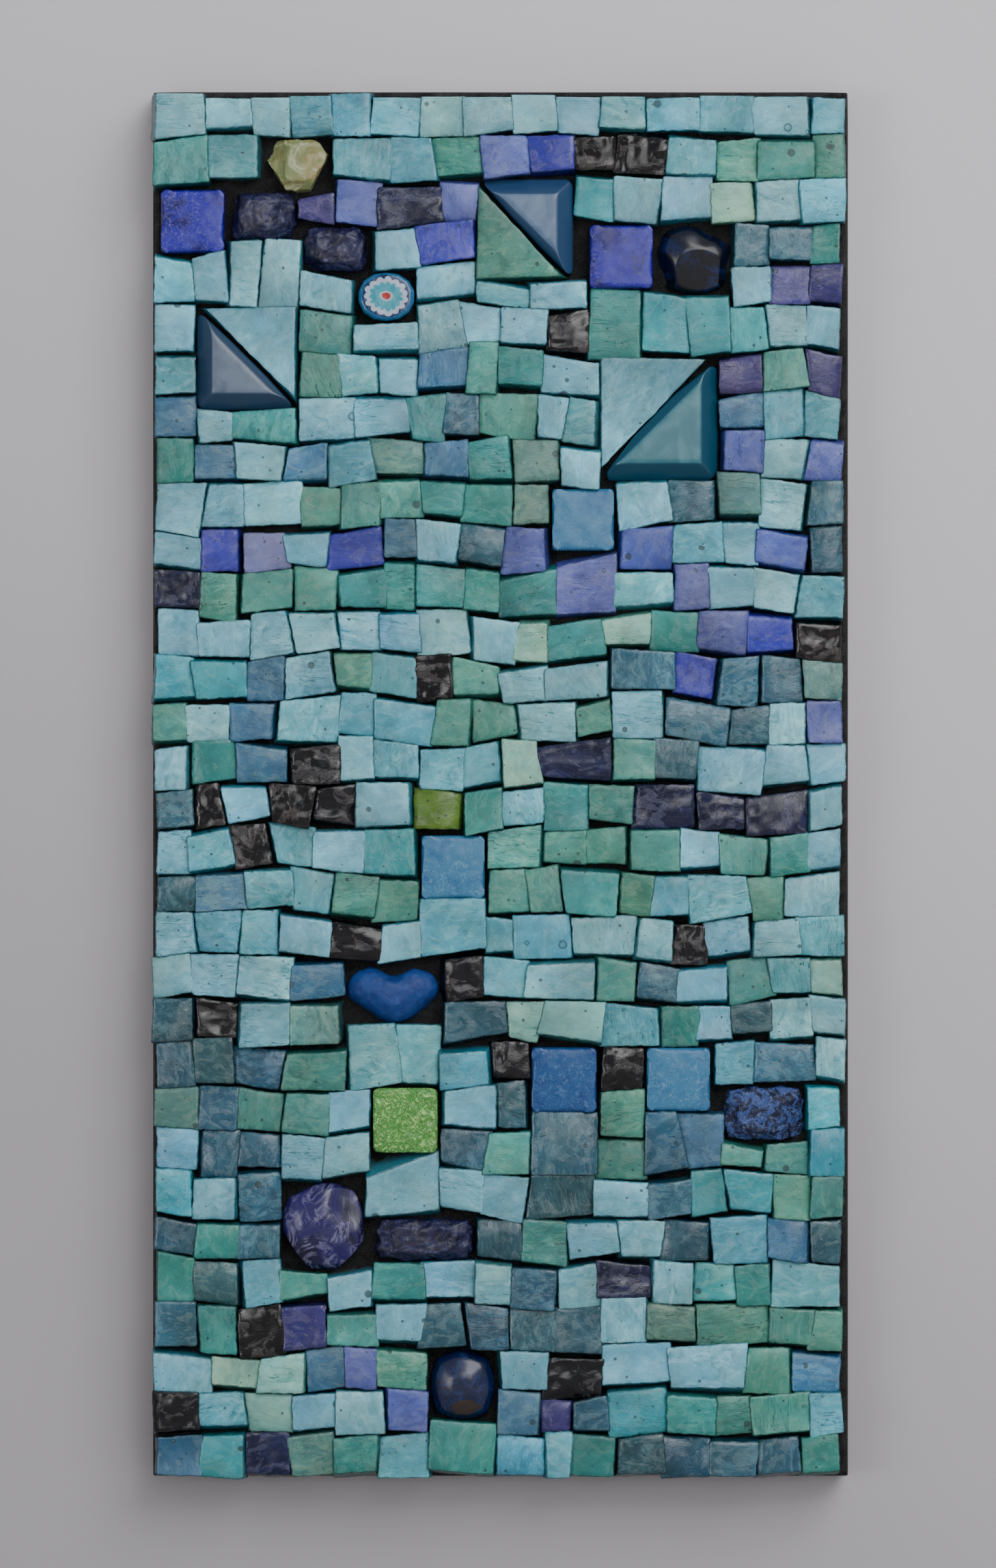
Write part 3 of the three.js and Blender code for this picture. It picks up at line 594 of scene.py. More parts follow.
@dataclass
class CutReader:
    """Finds the tiles in a fused course of the frame."""

    joined: float = 8e-6
    facing: float = -0.55
    least_area: float = 8e-7
    least_face: float = 1.6e-5
    widest: float = 24.5 * MM  # a face wider than this is several tiles side by side
    usual: float = 14.8 * MM
    joint: float = 0.3 * MM
    fold_share: float = 0.7  # a face that fills less of its own box is folded or short of a corner
    largest_mended: float = 20.5 * MM
    filler_bulge: float = 1.3 * MM  # how far a filler's long side bows towards its triangle
    closest: float = 2 * MM  # corners closer than this are one
    row: float = 0.02  # how high the bands are in which cuts are put in order
    parallel: float = 0.05  # two sides as parallel as this don't meet
    farthest_foot: float = 0.014  # how far a foot's corner may lie from its face's

    def read(self, node: bpy.types.Object) -> list[Cut]:
        """Gives every tile of a node, from the left.

        Args:
            node: A course of the frame.

        Returns:
            The tiles' cuts.
        """
        solid = bmesh.new()
        solid.from_mesh(node.data)
        bmesh.ops.remove_doubles(solid, verts=solid.verts, dist=self.joined)
        points = np.array([vertex.co[:] for vertex in solid.verts])
        faces = np.array([[vertex.index for vertex in face.verts] for face in solid.faces])
        solid.free()
        first, second, third = (points[faces[:, i]] for i in range(3))
        normals = np.cross(second - first, third - first)
        normals /= np.maximum(np.linalg.norm(normals, axis=1, keepdims=True), 1e-15)
        owner = {
            (int(a), int(b)): index
            for index, face in enumerate(faces) for a, b in zip(face, np.roll(face, -1))
        }
        front = {
            i for i in range(len(faces))
            if normals[i, 1] < self.facing and points[faces[i]][:, 1].mean() < LEAST_FACE
        }
        sides = self._sides(points, normals, faces)
        cuts = []
        while front:
            ring = self._ring(faces, owner, front)
            cuts.extend(self._cut(points, sides, ring))
        return sorted(self._mend(cuts), key=lambda cut: (round(-cut.middle[2] / self.row), cut.middle[0]))

    def _mend(self, cuts: list[Cut]) -> list[Cut]:
        """Squares the small faces that are folded over a diagonal, or have lost a corner."""
        whole, broken = [], []
        for cut in cuts:
            low, high = cut.face.min(axis=0), cut.face.max(axis=0)
            x, z = cut.face[:, 0], cut.face[:, 2]
            area = abs(x @ np.roll(z, -1) - z @ np.roll(x, -1)) / 2
            size = high - low
            folded = area < self.fold_share * size[0] * size[2]
            small = max(size[0], size[2]) < self.largest_mended
            (broken if folded and small else whole).append(cut)
        while broken:
            cut = broken.pop()
            near = [other for other in broken if np.linalg.norm(other.middle - cut.middle) < self.usual / 2]
            broken = [other for other in broken if not any(other is taken for taken in near)]
            points = np.concatenate([cut.face] + [other.face for other in near])
            corners = []
            for across, up in ((-1, -1), (1, -1), (1, 1), (-1, 1)):
                best = points[int((points[:, 0] * across + points[:, 2] * up).argmax())]
                if any(np.linalg.norm(best - taken) < self.closest for taken in corners):
                    best = np.array([(points[:, 0] * across).max() * across, best[1],
                                     (points[:, 2] * up).max() * up])
                corners.append(best)
            if np.linalg.norm(corners[1] - corners[2]) < self.usual / 2:
                corners[1] = np.array([corners[1][0], corners[1][1], corners[0][2]])
            face = np.array(corners)
            whole.append(Cut(face, face * [1, 0, 1] + [0, BED_FRONT, 0]))
        return whole

    def _sides(self, points: np.ndarray, normals: np.ndarray, faces: np.ndarray) -> tuple[np.ndarray, ...]:
        """Gives the ends and the outward direction of every edge of a side."""
        upright = np.abs(normals[:, 1]) < -self.facing
        kept, outward = faces[upright], normals[upright]
        starts = np.concatenate([kept[:, i] for i in range(3)])
        ends = np.concatenate([kept[:, (i + 1) % 3] for i in range(3)])
        return points[starts], points[ends], np.concatenate([outward] * 3)

    def _ring(self, faces: np.ndarray, owner: dict, front: set[int]) -> list[int]:
        """Takes one joined patch of front triangles and walks round its edge."""
        patch: set[int] = set()
        waiting = [front.pop()]
        while waiting:
            index = waiting.pop()
            patch.add(index)
            for a, b in zip(faces[index], np.roll(faces[index], -1)):
                other = owner.get((int(b), int(a)))
                if other in front:
                    front.discard(other)
                    waiting.append(other)
        follow = {}
        for index in sorted(patch):
            for a, b in zip(faces[index], np.roll(faces[index], -1)):
                if owner.get((int(b), int(a))) not in patch:
                    follow[int(a)] = int(b)
        start = min(follow)
        ring = [start]
        while follow[ring[-1]] != start and len(ring) <= len(follow):
            ring.append(follow[ring[-1]])
        return ring

    def _cut(self, points: np.ndarray, sides: tuple[np.ndarray, ...], ring: list[int]) -> list[Cut]:
        """Reduces a ring to its true corners and follows the sides down to the adhesive."""
        while len(ring) > 3:
            places = points[ring]
            areas = np.linalg.norm(
                np.cross(np.roll(places, 1, axis=0) - places, np.roll(places, -1, axis=0) - places), axis=1)
            if len(ring) <= 4 and areas.min() > self.least_area:
                break
            ring.pop(int(areas.argmin()))
        corners = points[ring]
        if np.linalg.norm(np.cross(corners[1] - corners[0], corners[2] - corners[0])) < self.least_face:
            return []
        walls = [(a, self._wall(sides, a, b)) for a, b in zip(corners, np.roll(corners, -1, axis=0))]
        foot = np.array([
            self._meet(walls[i - 1], walls[i], corners[i]) for i in range(len(corners))
        ])
        return self._part(self._square(corners, foot))

    def _wall(self, sides: tuple[np.ndarray, ...], a: np.ndarray, b: np.ndarray) -> np.ndarray:
        """Gives the outward direction of the side below one edge of a face."""
        starts, ends, outward = sides
        length = np.linalg.norm(b - a)
        along = (b - a) / length
        off = sum(np.linalg.norm(np.cross(tips - a, along), axis=1) for tips in (starts, ends))
        middle = ((starts + ends) / 2 - a) @ along
        off[(middle < 0) | (middle > length)] = 1
        return outward[int(off.argmin())]

    def _part(self, cut: Cut) -> list[Cut]:
        """Parts a wide face into the tiles that make it up."""
        width = np.linalg.norm(cut.face[1] - cut.face[0])
        if width < self.widest or np.linalg.norm(cut.face[3] - cut.face[0]) > self.widest:
            return [cut]
        count = max(2, round(width / self.usual))
        gap = self.joint / width / 2
        parts = []
        for index in range(count):
            left, right = index / count + gap * (index > 0), (index + 1) / count - gap * (index < count - 1)
            parts.append(Cut(*(
                np.array([low + (high - low) * share for low, high, share in (
                    (ring[0], ring[1], left), (ring[0], ring[1], right),
                    (ring[3], ring[2], right), (ring[3], ring[2], left))])
                for ring in (cut.face, cut.foot)
            )))
        return parts

    def _meet(self, last: tuple, following: tuple, corner: np.ndarray) -> np.ndarray:
        """Gives where two sides meet the adhesive, or the place behind the corner if they don't."""
        rows = np.array([last[1], following[1], [0.0, 1.0, 0.0]])
        ends = np.array([last[1] @ last[0], following[1] @ following[0], BED_FRONT])
        straight_down = np.array([corner[0], BED_FRONT, corner[2]])
        if abs(np.linalg.det(rows)) < self.parallel:
            return straight_down
        meeting = np.linalg.solve(rows, ends)
        return straight_down if np.linalg.norm(meeting - corner) > self.farthest_foot else meeting

    def _square(self, corners: np.ndarray, foot: np.ndarray) -> Cut:
        """Orders four corners from lower left, anticlockwise seen from the front."""
        filler = len(corners) == 3
        if filler:
            lengths = np.linalg.norm(corners - np.roll(corners, -1, axis=0), axis=1)
            longest = int(lengths.argmax())
            after = (longest + 1) % 3
            square_corner = corners[(longest + 2) % 3]
            halfway = (corners[longest] + corners[after]) / 2
            outward = (halfway - square_corner) / np.linalg.norm(halfway - square_corner)
            corners = np.insert(corners, longest + 1, halfway + outward * self.filler_bulge, axis=0)
            foot = np.insert(foot, longest + 1, (foot[longest] + foot[after]) / 2, axis=0)
        flat = corners[:, [0, 2]]
        turn = np.cross(flat[1] - flat[0], flat[2] - flat[1])
        if turn < 0:
            corners, foot = corners[::-1], foot[::-1]
        start = int((corners[:, 0] + corners[:, 2]).argmin())
        return Cut(np.roll(corners, -start, axis=0), np.roll(foot, -start, axis=0), filler)


# ---- modelling by hand -------------------------------------------------------------------


def deselect() -> None:
    """Deselects every object."""
    bpy.ops.object.select_all(action="DESELECT")


def take(piece: bpy.types.Object) -> bpy.types.Object:
    """Makes a piece the only one selected, and active."""
    deselect()
    piece.select_set(True)
    bpy.context.view_layer.objects.active = piece
    return piece


def coordinates(piece: bpy.types.Object) -> np.ndarray:
    """Gives a piece's points, three numbers to a row."""
    flat = np.empty(len(piece.data.vertices) * 3)
    piece.data.vertices.foreach_get("co", flat)
    return flat.reshape(-1, 3)


def point_normals(piece: bpy.types.Object) -> np.ndarray:
    """Gives the outward direction at each of a piece's points."""
    flat = np.empty(len(piece.data.vertices) * 3)
    piece.data.vertex_normals.foreach_get("vector", flat)
    return flat.reshape(-1, 3)


def place_points(piece: bpy.types.Object, points: np.ndarray) -> None:
    """Moves a piece's points."""
    piece.data.vertices.foreach_set("co", points.reshape(-1))
    piece.data.update()


def apply_modifier(piece: bpy.types.Object, kind: str, **settings: object) -> None:
    """Adds a modifier to a piece and applies it."""
    take(piece)
    modifier = piece.modifiers.new(kind.lower(), kind)
    for name, value in settings.items():
        setattr(modifier, name, value)
    bpy.ops.object.modifier_apply(modifier=modifier.name)


def block(low: np.ndarray, high: np.ndarray) -> bpy.types.Object:
    """Models a plain block between two corners, its object at the origin."""
    deselect()
    bpy.ops.mesh.primitive_cube_add(size=1, location=(0, 0, 0))
    piece = bpy.context.object
    place_points(piece, coordinates(piece) * (high - low) + (low + high) / 2)
    return piece


def close_up() -> None:
    """Closes the selected open edge, turns all faces outward and leaves edit mode."""
    bpy.ops.mesh.edge_face_add()
    bpy.ops.mesh.select_all(action="SELECT")
    bpy.ops.mesh.normals_make_consistent(inside=False)
    bpy.ops.object.mode_set(mode="OBJECT")


def above(level: np.ndarray, start: float) -> np.ndarray:
    """Rises from 0, at a level of the tile and below it, to 1 at its face."""
    return np.clip((level - start) / (1 - start), 0, 1)


def select_where(piece: bpy.types.Object, mode: str, test: object) -> None:
    """Selects in edit mode the points, edges or faces that pass a test.

    Args:
        piece: The active piece, in edit mode.
        mode: VERT, EDGE or FACE.
        test: Takes one element and says whether it is wanted.
    """
    bpy.ops.mesh.select_mode(type=mode)
    bpy.ops.mesh.select_all(action="DESELECT")
    bpy.ops.object.mode_set(mode="OBJECT")
    mesh = piece.data
    elements = {"VERT": mesh.vertices, "EDGE": mesh.edges, "FACE": mesh.polygons}[mode]
    for element in elements:
        element.select = bool(test(element))
    bpy.ops.object.mode_set(mode="EDIT")


def settle(piece: bpy.types.Object, name: str, nodes: Iterable[str],
           materials: Sequence[bpy.types.Material]) -> bpy.types.Object:
    """Finishes a piece: its name, its glass, and what it stands for.

    Args:
        piece: The modelled piece, its object at the origin.
        name: Its own name.
        nodes: The frame's nodes that it stands for.
        materials: Its finishes.

    Returns:
        The piece.
    """
    piece.name = name
    piece.data.name = name
    piece.data.materials.clear()
    for material in materials:
        piece.data.materials.append(material)
    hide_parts(*nodes)
    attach(piece, BODY)
    log.info("%s: %d points", name, len(piece.data.vertices))
    return piece


# ---- the ordinary tesserae ---------------------------------------------------------------


@dataclass
class MasterTessera:
    """One tile in the round, from which every other is cut: face at w = 1, foot at w = 0."""

    cuts: int = 17
    crowding: float = 0.62  # how much closer its lines stand near the edges
    # how far out and how deep each ring below the face's edge lies, in parts of the tile
    rings: tuple[tuple[float, float], ...] = (
        (0.99, 0.985), (1.0, 0.94), (1.0, 0.78), (1.0, 0.45), (1.0, 0.1))
    face_share: float = 0.975

    def build(self) -> bpy.types.Object:
        """Models the tile.

        Returns:
            The tile, from -1 to 1 across and up.
        """
        deselect()
        bpy.ops.mesh.primitive_grid_add(x_subdivisions=self.cuts, y_subdivisions=self.cuts, size=2,
                                        location=(0, 0, 0))
        tile = bpy.context.object
        points = coordinates(tile)
        crowded = np.sin(points[:, :2] * math.pi / 2) * self.crowding + points[:, :2] * (1 - self.crowding)
        points[:, :2] = crowded * self.face_share
        points[:, 2] = 1
        place_points(tile, points)
        bpy.ops.object.mode_set(mode="EDIT")
        edge = self.face_share - 1e-4
        select_where(tile, "VERT", lambda v: max(abs(v.co.x), abs(v.co.y)) > edge)
        bpy.ops.mesh.select_mode(type="EDGE")
        reach, depth = self.face_share, 1.0
        for out, level in self.rings:
            bpy.ops.mesh.extrude_region_move(TRANSFORM_OT_translate={"value": (0, 0, level - depth)})
            grow = out / reach
            bpy.ops.transform.resize(value=(grow, grow, 1), center_override=(0, 0, 0))
            reach, depth = out, level
        close_up()
        return tile


@dataclass
class TileCutter:
    """Fits the master tile to a cut, and breaks its edges and its face."""

    shape: np.ndarray
    low: np.ndarray
    high: np.ndarray
    bow: float = 0.42 * MM  # how far a side curves in or out
    nibble: float = 0.2 * MM  # fine raggedness of an edge
    chip_sizes: tuple[float, float] = (0.6 * MM, 2.0 * MM)
    turn: float = 0.03  # how far a tile is turned where it lies
    rounding: tuple[float, float] = (0.5 * MM, 1.5 * MM)  # how far in from its edge a face rolls over
    corners: tuple[float, float] = (0.15 * MM, 0.8 * MM)
    reach: tuple[float, float] = (0.15 * MM, 0.72 * MM)  # how far a side stands out of its cut
    filler_reach: float = 1.3 * MM
    left_border: tuple[float, float] = (1.2 * MM, 3.2 * MM)  # how far short of the widest place tiles end
    right_border: tuple[float, float] = (2.4 * MM, 4.6 * MM)
    top_border: tuple[float, float] = (1.4 * MM, 3.2 * MM)
    top_course: float = 0.012  # tiles whose middle is this near the top make up the top course
    head_room: float = 0.15 * MM  # how far the top course may reach over its cut
    crown: float = 0.5 * MM
    roll_from: float = 0.25  # the levels from which a face's rounding and its waves begin
    wave_from: float = 0.4

    def fit(self, cut: Cut) -> tuple[np.ndarray, dict[str, np.ndarray]]:
        """Makes one tile.

        Args:
            cut: Where it lies, and its glass.

        Returns:
            Its points, and its attributes.
        """
        u, v, w = (self.shape[:, 0] + 1) / 2, (self.shape[:, 1] + 1) / 2, self.shape[:, 2]
        dice = random.Random(cut.seed)
        finish = GLASSES[cut.kind]
        self._hold_in(cut)
        width = (np.linalg.norm(cut.face[1] - cut.face[0]) + np.linalg.norm(cut.face[2] - cut.face[3])) / 2
        height = (np.linalg.norm(cut.face[3] - cut.face[0]) + np.linalg.norm(cut.face[2] - cut.face[1])) / 2
        out = [self.filler_reach if cut.filler else dice.uniform(*self.reach) for _ in range(4)]
        wide = u * (1 + (out[0] + out[1]) / width) - out[0] / width
        tall = v * (1 + (out[2] + out[3]) / height) - out[2] / height
        shares = np.stack(
            [(1 - wide) * (1 - tall), wide * (1 - tall), wide * tall, (1 - wide) * tall], axis=1)
        face, foot = shares @ cut.face, shares @ cut.foot
        points = foot + (face - foot) * w[:, None]
        self._round(points, cut, dice, u, v, w, width, height)
        self._turn(points, cut, dice)
        edge = np.minimum(np.minimum(u, 1 - u) * width, np.minimum(v, 1 - v) * height)
        depth = (1 - w) * (BED_FRONT - face[:, 1])
        rim = np.where(w > ON_FACE, edge, -depth) / MM
        self._bend(points, cut, u, v, w, edge)
        self._crown(points, dice, u, v, w)
        self._wave(points, cut, finish, w, edge)
        self._chip(points, cut, dice)
        np.clip(points, self.low, self.high, out=points)
        if cut.middle[2] > self.high[2] - self.top_course:
            points[:, 2] = np.minimum(points[:, 2], cut.face[:, 2].max() + self.head_room)
        return points, self._traits(points, cut, dice, finish, rim)

    def _hold_in(self, cut: Cut) -> None:
        """Keeps the end tiles and the top course a little inside the board's edge."""
        dice = random.Random(cut.seed + 3)
        left, right = (
            self.high[0] - dice.uniform(*border) for border in (self.left_border, self.right_border))
        up = self.high[2] - dice.uniform(*self.top_border)
        for ring in (cut.face, cut.foot):
            np.clip(ring[:, 0], -left, right, out=ring[:, 0])
            np.clip(ring[:, 2], None, up, out=ring[:, 2])

    def _round(self, points: np.ndarray, cut: Cut, dice: random.Random, u: np.ndarray, v: np.ndarray,
               w: np.ndarray, width: float, height: float) -> None:
        """Rounds the corners, and rolls the face over towards each of its edges."""
        across = (cut.face[1] + cut.face[2] - cut.face[0] - cut.face[3]) / 2 / width
        up = (cut.face[3] + cut.face[2] - cut.face[0] - cut.face[1]) / 2 / height
        level = above(w, self.roll_from)
        sides = ((u * width, (1 - u) * width), (v * height, (1 - v) * height))
        rolls = [dice.uniform(*self.rounding) for _ in range(4)]
        for distance, roll in zip((side for pair in sides for side in pair), rolls):
            inward = 1 - np.clip(distance / roll, 0, 1)
            points[:, 1] += level * (1 - np.sqrt(1 - (0.985 * inward)**2)) * roll * 0.5
        for left in (0, 1):
            for low in (0, 1):
                radius = dice.uniform(*self.corners)
                first, second = radius - sides[0][left], radius - sides[1][low]
                inside = (first > 0) & (second > 0)
                longest, length = np.maximum(first, second), np.hypot(first, second)
                pull = np.where(inside, 1 - longest / np.maximum(length, 1e-9), 0)
                points += across * (pull * np.maximum(first, 0) * (1 - 2 * left))[:, None]
                points += up * (pull * np.maximum(second, 0) * (1 - 2 * low))[:, None]

    def _bend(self, points: np.ndarray, cut: Cut, u: np.ndarray, v: np.ndarray, w: np.ndarray,
              edge: np.ndarray) -> None:
        """Curves the sides and makes the edges ragged."""
        spread = np.stack([u * 9, w * 2.5, v * 9], axis=1) * MM
        hold = np.exp(-edge / (2.2 * MM))
        for axis, seed in ((0, cut.seed), (2, cut.seed + 17)):
            slow = swell(spread, 7 * MM, seed, 1)
            quick = swell(points, 1.7 * MM, seed + 5, 2)
            points[:, axis] += hold * (slow * self.bow + quick * self.nibble)

    def _turn(self, points: np.ndarray, cut: Cut, dice: random.Random) -> None:
        """Turns the tile a little where it lies."""
        angle = 0.0 if cut.filler else dice.gauss(0, self.turn)
        x, z = points[:, 0] - cut.middle[0], points[:, 2] - cut.middle[2]
        points[:, 0] = cut.middle[0] + x * math.cos(angle) - z * math.sin(angle)
        points[:, 2] = cut.middle[2] + x * math.sin(angle) + z * math.cos(angle)

    def _crown(self, points: np.ndarray, dice: random.Random, u: np.ndarray, v: np.ndarray,
               w: np.ndarray) -> None:
        """Rounds the face over, or hollows it, along one direction or both."""
        lift = above(w, self.wave_from) * self.crown
        for share in ((2 * u - 1), (2 * v - 1)):
            strength = dice.gauss(0.35, 0.75)
            bulge = share**2 if strength > 0 else 1 - share**2
            points[:, 1] += lift * abs(strength) * bulge

    def _wave(self, points: np.ndarray, cut: Cut, finish: GlassFinish, w: np.ndarray,
              edge: np.ndarray) -> None:
        """Makes the face uneven, always towards the board."""
        top = above(w, self.wave_from)
        flat = points * np.array([1.0, 0.2, 1.0])
        slow = (swell(flat, 7.5 * MM, cut.seed + 31) + 1) / 2
        ridges = np.abs(swell(flat, 4.2 * MM, cut.seed + 37, 2))
        points[:, 1] += top * (slow * finish.waves * 1.6 + ridges * finish.waves * 0.8) * MM
        points[:, 1] += top * np.exp(-edge / (0.7 * MM)) * 0.10 * MM * (w > ON_FACE)

    def _chip(self, points: np.ndarray, cut: Cut, dice: random.Random) -> None:
        """Breaks a few shells of glass off the edges."""
        for _ in range(dice.choice((0, 1, 2, 2, 3, 4))):
            side = dice.randrange(4)
            # anywhere along the side, or near either of its ends
            share = dice.choice((dice.uniform(0, 1), dice.uniform(-0.05, 0.08), dice.uniform(0.92, 1.05)))
            place = cut.face[side] * (1 - share) + cut.face[(side + 1) % 4] * share
            outward = place - cut.middle
            outward[1] = 0
            outward /= np.linalg.norm(outward)
            radius = dice.uniform(*self.chip_sizes)
            centre = place + outward * radius * dice.uniform(0.35, 0.7)
            centre[1] -= radius * dice.uniform(0.3, 0.7)
            offset = points - centre
            reach = np.linalg.norm(offset, axis=1)
            inside = reach < radius
            points[inside] = centre + offset[inside] / reach[inside, None] * radius

    def _traits(self, points: np.ndarray, cut: Cut, dice: random.Random, finish: GlassFinish,
                rim: np.ndarray) -> dict[str, np.ndarray]:
        """Works out what the glass needs to know at each point."""
        count = len(points)
        angle = dice.choice((0, 0, 0, math.pi / 2)) + dice.gauss(0, 0.12)
        along = cut.face[1] - cut.face[0]
        angle += math.atan2(along[2], along[0])
        local = (points - cut.middle) / MM
        first = local[:, 0] * math.cos(angle) + local[:, 2] * math.sin(angle)
        second = -local[:, 0] * math.sin(angle) + local[:, 2] * math.cos(angle)
        place = np.stack([first + dice.uniform(-900, 900), second + dice.uniform(-900, 900),
                          local[:, 1] * 0.5 + dice.uniform(0, 90)], axis=1)
        light = math.exp(dice.gauss(0, finish.drift))
        warm = dice.gauss(0, finish.drift * 0.45)
        tint = np.array([light * (1 + warm), light, light * (1 - warm)])
        slope = (local[:, 0] * dice.gauss(0, 0.09) + local[:, 2] * dice.gauss(0, 0.09)) / 7
        drift = slope + swell(points, 5 * MM, cut.seed + 51, 4) * 0.2
        cool = swell(points, 9 * MM, cut.seed + 57, 2) * 0.07
        over = np.exp(drift)[:, None] * np.stack([1 - cool, np.ones(count), 1 + cool], axis=1) * tint
        tones = {
            name: np.column_stack([np.clip(np.array(tone) * over, 0, 1), np.ones(count)])
            for name, tone in zip(TONES, (finish.tone, finish.stroke, finish.wisp))
        }
        lean = dice.choice((0.0, 0.1, 0.25, 0.5, 1.1)) * (0.4 if cut.filler else 1)
        traits = np.tile((finish.streak * lean, finish.cloud * dice.uniform(0.5, 1.2),
                          finish.pits * dice.choice((0, 0.6, 1.6))), (count, 1))
        return {**tones, "grain_place": place, "traits": traits, "rim": rim,
                "dull": np.full(count, max(0.05, finish.dull * dice.uniform(0.75, 1.3)))}


TONES = ("tone", "stroke_tone", "wisp_tone")
ATTRIBUTES = {
    **dict.fromkeys(TONES, "FLOAT_COLOR"),
    "grain_place": "FLOAT_VECTOR", "traits": "FLOAT_VECTOR", "rim": "FLOAT", "dull": "FLOAT",
}
FIELDS = {"FLOAT_COLOR": "color", "FLOAT_VECTOR": "vector", "FLOAT": "value"}


@dataclass
class Courses:
    """All the ordinary tesserae, one piece for each fused course of the frame."""

    frame: dict
    effects: Effects
    low: np.ndarray
    high: np.ndarray
    reader: CutReader = field(default_factory=CutReader)
    dice: random.Random = field(default_factory=lambda: random.Random(SEED))

    def choose(self, cut: Cut, last: Glass | None) -> Glass:
        """Picks the glass of one tile from its zone."""
        x, _, z = cut.middle / MM
        zone = next(zone for zone in ZONES if zone.holds(x, z))
        again, pick = self.dice.random(), self.dice.random()
        if again < SAME_AGAIN and last in zone.mix and last not in SCARCE:
            return last
        mix = {kind: weight for kind, weight in zone.mix.items() if kind is not last or kind not in SCARCE}
        total = sum(mix.values())
        for kind, weight in mix.items():
            pick -= weight / total
            if pick <= 0:
                return kind
        return Glass.PALE_AQUA  # the zone has only the scarce glass that was just laid

    def build(self) -> list[bpy.types.Object]:
        """Lays every course.

        Returns:
            The pieces.
        """
        master = MasterTessera().build()
        cutter = TileCutter(coordinates(master), self.low, self.high)
        faces = [tuple(polygon.vertices) for polygon in master.data.polygons]
        material = self._glass()
        pieces = []
        for name in sorted(n for n in self.frame["nodes"] if n.startswith("tesserae_")):
            cuts = self.reader.read(self.frame["nodes"][name])
            last = None
            for cut in cuts:
                cut.seed = self.dice.randrange(1 << 20)
                cut.kind = last = self.choose(cut, last)
            pieces.append(self._lay(name, cuts, cutter, faces, material))
        bpy.data.objects.remove(master)
        return pieces

    def _lay(self, node: str, cuts: list[Cut], cutter: TileCutter, faces: list[tuple[int, ...]],
             material: bpy.types.Material) -> bpy.types.Object:
        """Makes one course's piece, each tile from its own copy of the master."""
        points, traits, polygons = [], [], []
        for cut in cuts:
            start = sum(len(part) for part in points)
            made, marks = cutter.fit(cut)
            points.append(made)
            traits.append(marks)
            polygons.extend(tuple(v + start for v in face) for face in faces)
        mesh = bpy.data.meshes.new(node)
        mesh.from_pydata(np.concatenate(points).tolist(), [], polygons)
        for name, kind in ATTRIBUTES.items():
            layer = mesh.attributes.new(name, kind, "POINT")
            values = np.concatenate([marks[name] for marks in traits]).astype(np.float32)
            layer.data.foreach_set(FIELDS[kind], values.reshape(-1))
        piece = bpy.data.objects.new(node, mesh)
        bpy.context.collection.objects.link(piece)
        take(piece)
        bpy.ops.object.shade_smooth_by_angle(angle=math.radians(44))
        return settle(piece, node.replace("tesserae", "glass"), [node], [material])

    def _glass(self) -> bpy.types.Material:
        """Makes the poured glass, which each tile tunes through its attributes."""
        finish = Finish("poured_opaque_glass", IOR=1.52)
        bench = finish.bench
        place = bench.attribute("grain_place")
        traits = bench.add("SeparateXYZ", Vector=bench.attribute("traits")).outputs
        tone, stroke_tone, wisp_tone = (bench.attribute(n, "Color") for n in TONES)
        veins = finish.group(self.effects.veins, Place=place, Streak=traits[0], Cloud=traits[1]).outputs
        pits = finish.group(self.effects.pinholes, Place=place, Amount=traits[2]).outputs
        fine = bench.stretch(place, (2.7, 3.1, 1), (31, 17, 0))
        specks = finish.group(self.effects.pinholes, Place=fine, Amount=0.09).outputs
        rim = finish.group(self.effects.rim, Place=place, Rim=bench.attribute("rim", "Fac")).outputs
        colour = bench.blend(veins["Pale"], tone, wisp_tone)
        colour = bench.blend(veins["Dark"], colour, bench.blend(0.5, tone, stroke_tone))
        # painted reflection: pale and grey patches on the face, stronger the darker the glass
        darkness = bench.ramp(bench.add("RGBToBW", Color=tone).outputs[0], 0.015, 0.3, 0.7, 0.4)
        reflection_tone = bench.blend(darkness, wisp_tone, bench.blend(0.45, wisp_tone, REFLECTION_GREY))
        colour = bench.blend(bench.times(veins["Flake"], darkness), colour, reflection_tone)
        colour = bench.blend(veins["Stroke"], colour, stroke_tone)
        # rubbed wear and painted sheen: the face paler just inside its edge
        colour = bench.blend(bench.times(rim["Rubbed"], 0.8), colour, wisp_tone)
        # painted shade: sides darker and more saturated than the face, fading to near black at the foot
        side = bench.blend(1.0, stroke_tone, SIDE_TINT_AND_SHADE, "MULTIPLY")
        side = bench.blend(rim["Deep"], side, FOOT_SHADE)
        colour = bench.blend(bench.times(rim["Side"], 0.85), colour, side)
        colour = bench.blend(bench.times(rim["Dirt"], 0.72), colour, GRIME)
        marks = bench.math("MAXIMUM", pits["Mask"], specks["Mask"])
        colour = bench.blend(bench.times(marks, 0.8), colour, BUBBLE)
        rough = bench.math("ADD", bench.attribute("dull", "Fac"), bench.times(rim["Dirt"], 0.3))
        rough = bench.math("ADD", rough, bench.times(veins["Dark"], 0.12), clamp=True)
        height = bench.math("SUBTRACT", veins["Height"], marks)
        return finish.surface(Base_Color=colour, Roughness=rough, Normal=bench.bump(height, 0.12 * MM, 0.8))


# ---- the single pieces -------------------------------------------------------------------


def copy_solid(frame: dict, node: str) -> bpy.types.Object:
    """Copies a node's solid, with its loose triangles merged."""
    mesh = frame["nodes"][node].data.copy()
    piece = bpy.data.objects.new(node, mesh)
    bpy.context.collection.objects.link(piece)
    take(piece)
    bpy.ops.object.mode_set(mode="EDIT")
    bpy.ops.mesh.select_all(action="SELECT")
    bpy.ops.mesh.remove_doubles(threshold=1e-6)
    bpy.ops.object.mode_set(mode="OBJECT")
    return piece


